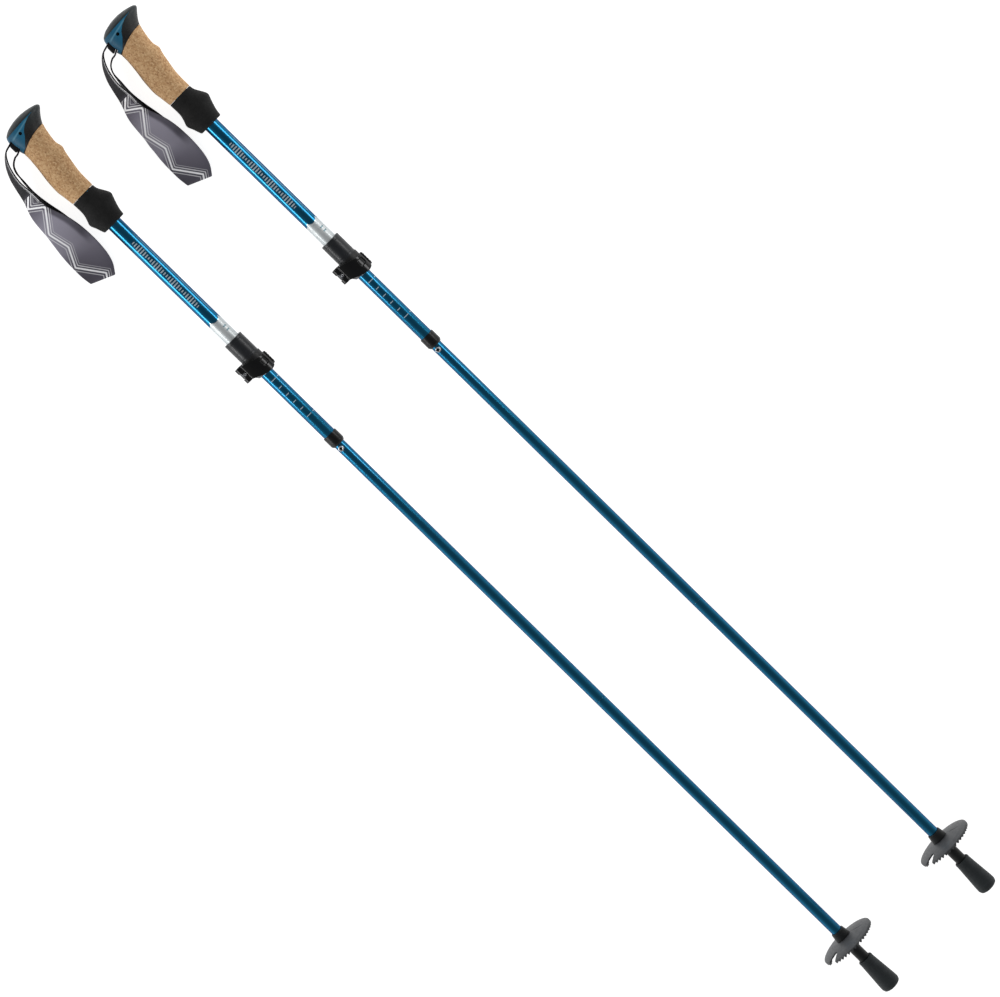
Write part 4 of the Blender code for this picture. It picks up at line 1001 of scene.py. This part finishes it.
# angle round the shaft (degrees), inner and outer radius, upper and lower edge
LEVER_ARM = (
    (152.0, 13.2, 19.5, 329.2, 346.2),
    (140.0, 12.5, 18.2, 329.6, 346.8),
    (125.0, 12.5, 16.6, 330.4, 348.6),
    (110.0, 12.5, 15.6, 331.4, 350.6),
    (95.0, 12.5, 15.2, 332.6, 351.8),
    (80.0, 12.5, 15.0, 333.9, 352.8),
    (65.0, 12.5, 14.9, 334.9, 353.4),
    (50.0, 12.5, 14.8, 335.3, 353.2),
    (38.0, 12.6, 14.6, 335.4, 352.4),
    (30.0, 12.6, 14.4, 335.6, 351.4),
)
PIVOT = (338.0, -16.6, 7.2)
FORK = (334.7, 341.3)
WELL_CENTRE, WELL_HALF, WELL_DEPTH = (342.0, 7.4), (2.0, 1.6), 1.3
SLIT_MIDDLE, SLIT_HALF = 195.5, 2.6  # degrees round the shaft
BAND_SECTION = ((329.5, 7.6), (329.5, 11.7), (348.4, 11.7), (352.0, 9.0), (352.0, 7.6))


def arm_shell(first, last, x_from=None, x_to=None, recess=False):
    """A stretch of the lever arm between two angles: a rounded section between an inner and an outer
    radius, swept round the shaft, its edges read from the table. The recess is a rounded well pressed
    into the outer face near the free end."""
    table = curve_through(LEVER_ARM, 12)
    order = np.argsort(table[:, 0])
    table = table[order]
    turns = np.linspace(first, last, 90)
    inner, outer, upper, lower = (np.interp(turns, table[:, 0], table[:, i]) for i in range(1, 5))
    if x_from is not None:
        upper = np.full_like(upper, x_from)
    if x_to is not None:
        lower = np.full_like(lower, x_to)
    flat = np.linspace(0.0, 1.0, 40)
    corner = np.linspace(0.0, math.pi / 2.0, 5)
    edge = 0.7
    # way from the nearer end in millimetres, on a radius of 14
    end = np.minimum(np.abs(turns - first), np.abs(turns - last)) / 57.3 * 14.0
    pinch = edge * (1.0 - np.sqrt(np.clip(1.0 - (1.0 - np.clip(end / edge, 0.0, 1.0)) ** 2, 0.0, 1.0)))
    low_r, high_r = inner + pinch, outer - pinch
    low_x, high_x = upper + pinch, lower - pinch
    # section outline as shares, anticlockwise from the outer face
    outer_x = low_x[:, None] + edge + (high_x - low_x - 2 * edge)[:, None] * flat
    outer_r = np.broadcast_to(high_r[:, None], outer_x.shape).copy()
    if recess:
        angle = np.radians(turns)[:, None]
        y = outer_r * np.cos(angle)
        dx = np.maximum(np.abs(outer_x - WELL_CENTRE[0]) - WELL_HALF[0], 0.0)
        dy = np.maximum(np.abs(y - WELL_CENTRE[1]) - WELL_HALF[1], 0.0)
        well = 1.0 - smooth_step(np.hypot(dx, dy), 1.5, 2.1)
        outer_r -= WELL_DEPTH * well
    sweep = [(outer_x, outer_r)]
    right = (high_x - edge)[:, None] + edge * np.sin(corner)
    sweep.append((right, (high_r - edge)[:, None] + edge * np.cos(corner)))
    sweep.append((right[:, ::-1], (low_r + edge)[:, None] - edge * np.cos(corner[::-1])))
    inner_x = outer_x[:, ::-1]
    sweep.append((inner_x, np.broadcast_to(low_r[:, None], inner_x.shape)))
    left = (low_x + edge)[:, None] - edge * np.sin(corner)
    sweep.append((left, (low_r + edge)[:, None] - edge * np.cos(corner)))
    sweep.append((left[:, ::-1], (high_r - edge)[:, None] + edge * np.cos(corner[::-1])))
    x = np.concatenate([part[0] for part in sweep], axis=1)
    radius = np.concatenate([part[1] for part in sweep], axis=1)
    angle = np.radians(turns)[:, None]
    grid = np.stack([x, radius * np.cos(angle), radius * np.sin(angle)], -1)
    return lattice(capped(grid))


def lever_shells():
    """The arm, the two tines of its fork and the round cheeks that sit on the pin."""
    shells = [arm_shell(30.5, 142.0, recess=True), arm_shell(139.0, 153.0, x_to=FORK[0]),
              arm_shell(139.0, 153.0, x_from=FORK[1])]
    for start, end in ((328.6, FORK[0]), (FORK[1], 346.6)):
        cheek = turned([(start, 2.7), (start, 4.7), (end, 4.7), (end, 2.7)], 0.6, hollow=True, segments=72)
        shells.append(moved(cheek, np.eye(3), (0.0, PIVOT[1], PIVOT[2])))
    return shells


def band_shell():
    """The split band: a flat section with softened corners carried round the shaft, short of a full
    turn by the slit."""
    start, end = math.radians(SLIT_MIDDLE + SLIT_HALF), math.radians(SLIT_MIDDLE - SLIT_HALF + 360.0)
    angle = np.linspace(start, end, 150)
    section = softened(BAND_SECTION, 0.5, closed=True)
    x = np.broadcast_to(section[:, 0][None], (150, len(section)))
    radius = section[:, 1][None]
    grid = np.stack([x, radius * np.cos(angle)[:, None], radius * np.sin(angle)[:, None]], -1)
    return lattice(capped(grid))


def clamp_shells():
    """The sleeve with its two grooves, the split band, the two ears, and the lug with four ribs."""
    sleeve = turned([(304.9, 8.3), (304.9, 11.0), (308.2, 11.0), (308.5, 10.75), (308.9, 11.0), (326.6, 11.0),
                     (327.0, 10.75), (327.4, 11.0), (329.7, 11.0), (329.7, 8.3)], 0.3, hollow=True)
    ears = [rounded_box((329.5, -19.6, -8.4), (346.0, -9.8, -3.6), 0.9),
            rounded_box((329.5, -19.6, -2.6), (346.0, -9.8, 2.0), 0.9)]
    lug = [rounded_box((335.5, 10.2, -6.0), (351.0, 14.2, 6.0), 0.8)]
    ribs = [rounded_box((x, 13.6, -5.2), (x + 1.2, 14.5, 5.2), 0.3) for x in (338.0, 341.2, 344.4, 347.6)]
    return [sleeve, band_shell(), *ears, *lug, *ribs]


# ---------------------------------------------------------------- small turned parts

def upright(profile, edge, segments=64):
    """A turned body whose axis stands along z: its profile is (height, radius)."""
    return moved(turned(profile, edge, segments=segments), ((0, 0, 1), (0, 1, 0), (1, 0, 0)), (0, 0, 0))


def screw_shells():
    """The tension screw, which stands upright through the ears: a shaft, a head and a recess."""
    x, y = PIVOT[:2]
    body = upright([(-11.5, 0.0), (-11.5, 3.1), (-8.7, 3.1), (-8.7, 1.5), (11.35, 1.5), (11.35, 0.7),
                    (10.4, 0.7), (10.4, 0.0)], 0.15)
    return [moved(body, np.eye(3), (x, y, 0.0))]


def pin_shells():
    """The lever's pin with a thicker barrel between the tines of the fork."""
    body = turned([(329.6, 0.0), (329.6, 2.4), (335.1, 2.4), (335.1, 3.9), (340.9, 3.9), (340.9, 2.4),
                   (345.6, 2.4), (345.6, 0.0)], 0.3)
    return [moved(body, np.eye(3), (0.0, PIVOT[1], PIVOT[2]))]


BUTTON_LEAN = math.radians(17.0)
BUTTON_ROWS = ((1, 0, 0), (0, math.cos(BUTTON_LEAN), math.sin(BUTTON_LEAN)),
               (0, -math.sin(BUTTON_LEAN), math.cos(BUTTON_LEAN)))
BUTTON_SEAT = (459.3, 0.0, 0.0)


def button_shells():
    """The push button, turned about an axis that leans from z towards the strap side."""
    body = upright([(3.1, 0.0), (3.1, 3.4), (3.9, 3.4), (3.9, 2.9), (7.5, 2.9), (8.0, 2.6), (8.0, 1.8),
                    (6.6, 1.6), (6.6, 0.0)], 0.3, 72)
    return [moved(body, BUTTON_ROWS, BUTTON_SEAT)]


# ---------------------------------------------------------------- basket and foot

BASKET_START = 1190.3
NOTCH_INNER, NOTCH_OUTER = (-18.4, 13.9), (-38.0, 22.3)
NOTCH_HALF = (2.9, 8.5)


def basket_shell(columns=528, teeth=44):
    """A shallow dome from the collar to the rim, saw teeth under the rim, and a thin web below. Each
    tooth is a slow straight rise and a steep fall of the rim's lower line with the angle."""
    angle = TURN * np.arange(columns) / columns
    turn = (angle * teeth / TURN) % 1.0
    saw = 3.1 * np.minimum(turn / 0.72, (1.0 - turn) / 0.28) - 0.7
    profile = softened([(0.0, 6.5), (0.0, 8.6), (0.35, 9.6), (1.5, 17.0), (3.1, 25.6), (4.7, 30.6), (5.4, 32.0),
                        (6.4, 32.0), (6.4, 28.6), (5.0, 27.6), (3.6, 19.0), (2.7, 10.8), (8.0, 9.6), (8.0, 6.5)],
                       0.5, closed=True, bends=3)
    height, radius = profile[:, :1], profile[:, 1:]
    lower = smooth_step(height, 5.9, 6.2) * smooth_step(radius, 27.6, 28.4)
    x = BASKET_START + height + saw * lower
    y, z = radius * np.cos(angle), radius * np.sin(angle)
    # a leaf pressed in the upper face: the overlap of two arcs
    upper_face = (radius > 12.0) & (height < 5.5) & (height < 0.4 + (radius - 9.6) * 0.235)
    leaf_u = (y - 17.0) * 0.77 - (z - 7.0) * 0.64
    leaf_v = (y - 17.0) * 0.64 + (z - 7.0) * 0.77
    leaf = 1.0 - smooth_step(np.abs(leaf_u) + (leaf_v / 8.5) ** 2 * 2.0, 1.2, 2.0)
    x = x + 0.35 * leaf * upper_face
    return lattice(np.stack([x, y, z], -1), close_rows=True)


def notch_shell():
    """A round-ended slot through the basket that widens towards the rim."""
    inner, outer = np.array(NOTCH_INNER), np.array(NOTCH_OUTER)
    heading = math.atan2(*(outer - inner)[::-1])
    bend = heading + math.pi / 2.0 + math.pi * np.linspace(0.0, 1.0, 25)
    round_end = np.column_stack([np.cos(bend), np.sin(bend)])
    outline = np.vstack([outer + NOTCH_HALF[1] * round_end[0], inner + NOTCH_HALF[0] * round_end,
                         outer + NOTCH_HALF[1] * round_end[-1]])
    flat = block(outline, -12.0, 16.0, 0.01)
    return moved(flat, ((0, 1, 0), (0, 0, 1), (1, 0, 0)), (BASKET_START, 0.0, 0.0))


def cut_out(obj, pole, shell):
    """Cut a closed shell out of a piece, for good, and close the hairline gaps that the cut may leave."""
    mesh = bpy.data.meshes.new("slot")
    mesh.from_pydata(pole.world(shell[0]).tolist(), [], shell[1].tolist())
    work = bmesh.new()
    work.from_mesh(mesh)
    bmesh.ops.remove_doubles(work, verts=work.verts, dist=DOUBLED)
    bmesh.ops.recalc_face_normals(work, faces=work.faces)
    work.to_mesh(mesh)
    work.free()
    cutter = bpy.data.objects.new("slot", mesh)
    bpy.context.scene.collection.objects.link(cutter)
    cutting = obj.modifiers.new("slot", "BOOLEAN")
    cutting.solver, cutting.object = "EXACT", cutter
    bpy.context.view_layer.update()
    evaluated = obj.evaluated_get(bpy.context.evaluated_depsgraph_get())
    done = bpy.data.meshes.new_from_object(evaluated)
    skin = bmesh.new()
    skin.from_mesh(done)
    open_edges = [edge for edge in skin.edges if edge.is_boundary]
    bmesh.ops.holes_fill(skin, edges=open_edges, sides=0)
    skin.to_mesh(done)
    skin.free()
    obj.modifiers.clear()
    obj.data = done
    bpy.data.objects.remove(cutter)
    finish_mesh(done, pole, 34.0)


# turned pieces: each point's way down the shaft and its radius
COLLAR_LINE = ((441.0, 7.2), (441.0, 8.2), (452.7, 8.2), (454.9, 6.8), (454.9, 6.2), (449.0, 6.2), (449.0, 7.2))
FERRULE_LINE = ((1180.5, 6.3), (1180.5, 7.2), (1181.3, 7.45), (1190.0, 8.8), (1190.0, 6.2), (1229.0, 6.2),
                (1233.0, 3.6), (1233.0, 1.9), (1215.7, 1.9), (1215.7, 0.5), (1188.8, 0.5), (1188.8, 6.3))
FOOT_LINE = ((1222.5, 6.5), (1222.5, 7.9), (1223.3, 8.5), (1225.0, 8.6), (1225.6, 8.4), (1240.0, 9.5),
             (1255.5, 10.75), (1260.5, 10.95), (1263.6, 9.9), (1264.97, 7.6), (1264.97, 0.4), (1247.0, 0.4),
             (1247.0, 2.2), (1233.3, 2.2), (1233.3, 4.0), (1229.0, 6.5))
INNER_LOOKS = {"strap_pin": "pin", "guide_bush": "inner_white", "button_spring": "spring",
               "tube_ferrule": "spring", "tension_cord": "cord", "upper_cord_anchor": "inner_black",
               "lower_cord_anchor": "inner_black", "carbide_tip": "carbide"}


# ---------------------------------------------------------------- the pair

def build(pole):
    """All the pieces of one pole: each new one on the body that it moves with and in place of its node,
    and a finish for each inner node that stays."""
    cap, core = head_shells()
    strap, print_fields, length, width = strap_shell()
    wedge = block(softened(WEDGE_OUTLINE, 0.9, closed=True), -7.2, 7.2, 0.7)
    pieces = {}
    for name, shells, look, body, slot in (
            ("grip_cap", cap, "head", "handle", "black_plastic"),
            ("grip_core", core, "inlay", "handle", "blue_plastic"),
            ("cork_grip", [grip_section(CORK_RINGS)], "cork", "handle", "cork"),
            ("grip_flare", [grip_section(FLARE_RINGS, edge=0.8, rounding=14)], "foam", "handle", "foam"),
            ("strap_wedge", [wedge], "wedge", "wedge", "black_plastic"),
            ("wrist_strap", [strap], "webbing", "handle", "webbing"),
            ("upper_tube", [tube(29.0, 346.0, 8.0, 7.3)], "upper_tube", "handle", "blue_anodised"),
            ("middle_tube", [tube(170.0, 448.7, 7.0, 6.4)], "middle_tube", "shaft", "blue_anodised"),
            ("lower_tube", [tube(402.0, 829.85, 6.0, 5.4)], "lower_tube", "shaft", "blue_anodised"),
            ("tip_tube", [tube(830.15, 1188.5, 6.0, 5.4)], "lower_tube", "tip_section", "blue_anodised"),
            ("clamp_body", clamp_shells(), "sleeve", "handle", "sleeve_plastic"),
            ("clamp_lever", lever_shells(), "lever", "lever", "black_plastic"),
            ("tension_screw", screw_shells(), "chrome", "screw", "chrome"),
            ("lever_pin", pin_shells(), "barrel", "handle", "chrome"),
            ("middle_collar", [turned(COLLAR_LINE, 0.5, hollow=True)], "collar", "shaft", "black_plastic"),
            ("lock_button", button_shells(), "button", "button", "chrome"),
            ("tip_ferrule", [turned(FERRULE_LINE, 0.3, hollow=True)], "ferrule", "tip_section",
             "black_plastic"),
            ("basket", [basket_shell()], "basket", "basket_ring", "grey_plastic"),
            ("rubber_foot", [turned(FOOT_LINE, 0.5, hollow=True)], "rubber", "foot", "rubber")):
        fields = print_fields if name == "wrist_strap" else None
        pieces[name] = place(pole, name, shells, look, body, slot, fields)

    hole = upright([(1.0, 0.0), (1.0, 3.2), (9.0, 3.2), (9.0, 0.0)], 0.01, 72)
    cut_out(pieces["grip_core"], pole, block(STRAP_CAVITY, -7.7, 7.7, 0.01))
    cut_out(pieces["lower_tube"], pole, moved(hole, BUTTON_ROWS, BUTTON_SEAT))
    cut_out(pieces["basket"], pole, notch_shell())

    for node, look in INNER_LOOKS.items():
        mesh = frame["nodes"][f"{pole.side}_{node}"].data
        mesh.materials.clear()
        mesh.materials.append(LOOKS[look])

    # the button presses the leaf spring by 2 mm of its 7.3 mm; here the spring only gets a mesh of its own
    seat, press = np.array(BUTTON_SEAT), np.array(BUTTON_ROWS[2])
    fixed, free = pole.world(np.array([seat - 4.2 * press, seat + 3.1 * press]))
    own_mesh(frame["nodes"][f"{pole.side}_button_spring"], f"{pole.side}_button_press", tuple(free - fixed),
              tuple(fixed), keep=0.71)


# ---------------------------------------------------------------- floor, light, camera

def lay_floor():
    """A wide pale floor at the height that the poles rest on."""
    finish = Finish("pale_floor", roughness=0.9, on_pole=False)
    finish.color(finish.mixed(finish.grain(900.0), (0.50, 0.50, 0.50), (0.53, 0.53, 0.53)))
    finish.shader.inputs["Emission Color"].default_value = (1.0, 1.0, 1.0, 1.0)
    finish.shader.inputs["Emission Strength"].default_value = 0.9
    reach = 30.0
    mesh = bpy.data.meshes.new("floor")
    corners = [(-reach, -reach, 0.0), (reach, -reach, 0.0), (reach, reach, 0.0), (-reach, reach, 0.0)]
    mesh.from_pydata(corners, [], [(0, 1, 2, 3)])
    mesh.materials.append(finish.material)
    floor = bpy.data.objects.new("floor", mesh)
    bpy.context.scene.collection.objects.link(floor)


def area_light(name, place_at, look_at, size, size_y, radiance):
    """A rectangular lamp of a given radiance; its long side lies along x."""
    light = bpy.data.lights.new(name, "AREA")
    light.shape, light.size, light.size_y = "RECTANGLE", size, size_y
    light.energy = radiance * math.pi * size * size_y
    obj = bpy.data.objects.new(name, light)
    bpy.context.scene.collection.objects.link(obj)
    back = (Vector(place_at) - Vector(look_at)).normalized()
    side = Vector((1.0, 0.0, 0.0))
    side = (side - back * side.dot(back)).normalized()
    up = back.cross(side)
    obj.matrix_world = Matrix.Translation(place_at) @ Matrix((side, up, back)).transposed().to_4x4()


def set_lights():
    """Soft surround, darker overhead than at the horizon, and a long lamp on each side of the pair."""
    world = bpy.data.worlds.new("soft_surround")
    world.use_nodes = True
    bpy.context.scene.world = world
    tree = world.node_tree
    spot = add(tree, "ShaderNodeTexCoord")
    height = add(tree, "ShaderNodeSeparateXYZ", Vector=spot.outputs["Generated"]).outputs[2]
    ramp = add(tree, "ShaderNodeValToRGB", Fac=height)
    stops = ramp.color_ramp.elements
    stops[0].color, stops[1].color = (0.90, 0.90, 0.90, 1.0), (0.22, 0.22, 0.23, 1.0)
    stops[0].position, stops[1].position = 0.0, 1.0
    stops.new(0.5).color = (0.48, 0.48, 0.48, 1.0)
    stops.new(0.78).color = (0.28, 0.28, 0.28, 1.0)
    fill(tree.nodes["Background"].inputs["Color"], ramp.outputs[0])
    area_light("strap_side_lamp", (-0.53, -1.25, 0.38), (-0.5, 0.0, 0.0), 0.95, 0.28, 11.0)
    area_light("nose_side_lamp", (-0.53, 1.15, 0.66), (-0.5, 0.0, 0.0), 0.95, 0.34, 6.5)


def set_camera():
    """The camera looks down on the pair from above the grips, tipped towards the feet and rolled so
    that the poles run from the upper left to the lower right."""
    right, left = POLES["right"], POLES["left"]
    down = Vector(right.axes[0] + left.axes[0]).normalized()
    up = Vector(right.axes[2] + left.axes[2]).normalized()
    nose = up.cross(down)
    start = Vector((right.start + left.start) / 2.0)
    tilt, roll = math.radians(8.18), math.radians(44.42)
    ahead = down * math.cos(tilt) + up * math.sin(tilt)
    back = up * math.cos(tilt) - down * math.sin(tilt)
    across = ahead * math.cos(roll) + nose * math.sin(roll)
    above = nose * math.cos(roll) - ahead * math.sin(roll)
    camera = bpy.data.cameras.new("camera")
    camera.lens, camera.sensor_width = 123.7, 36.0
    camera.clip_start, camera.clip_end = 0.1, 60.0
    obj = bpy.data.objects.new("camera", camera)
    bpy.context.scene.collection.objects.link(obj)
    spot = start + down * 0.1152 + nose * 0.0042 + up * 3.45
    obj.matrix_world = Matrix.Translation(spot) @ Matrix((across, above, back)).transposed().to_4x4()
    bpy.context.scene.camera = obj


set_camera()
for side in SIDES:
    build(POLES[side])
lay_floor()
set_lights()
bpy.context.scene.view_settings.view_transform = "Standard"
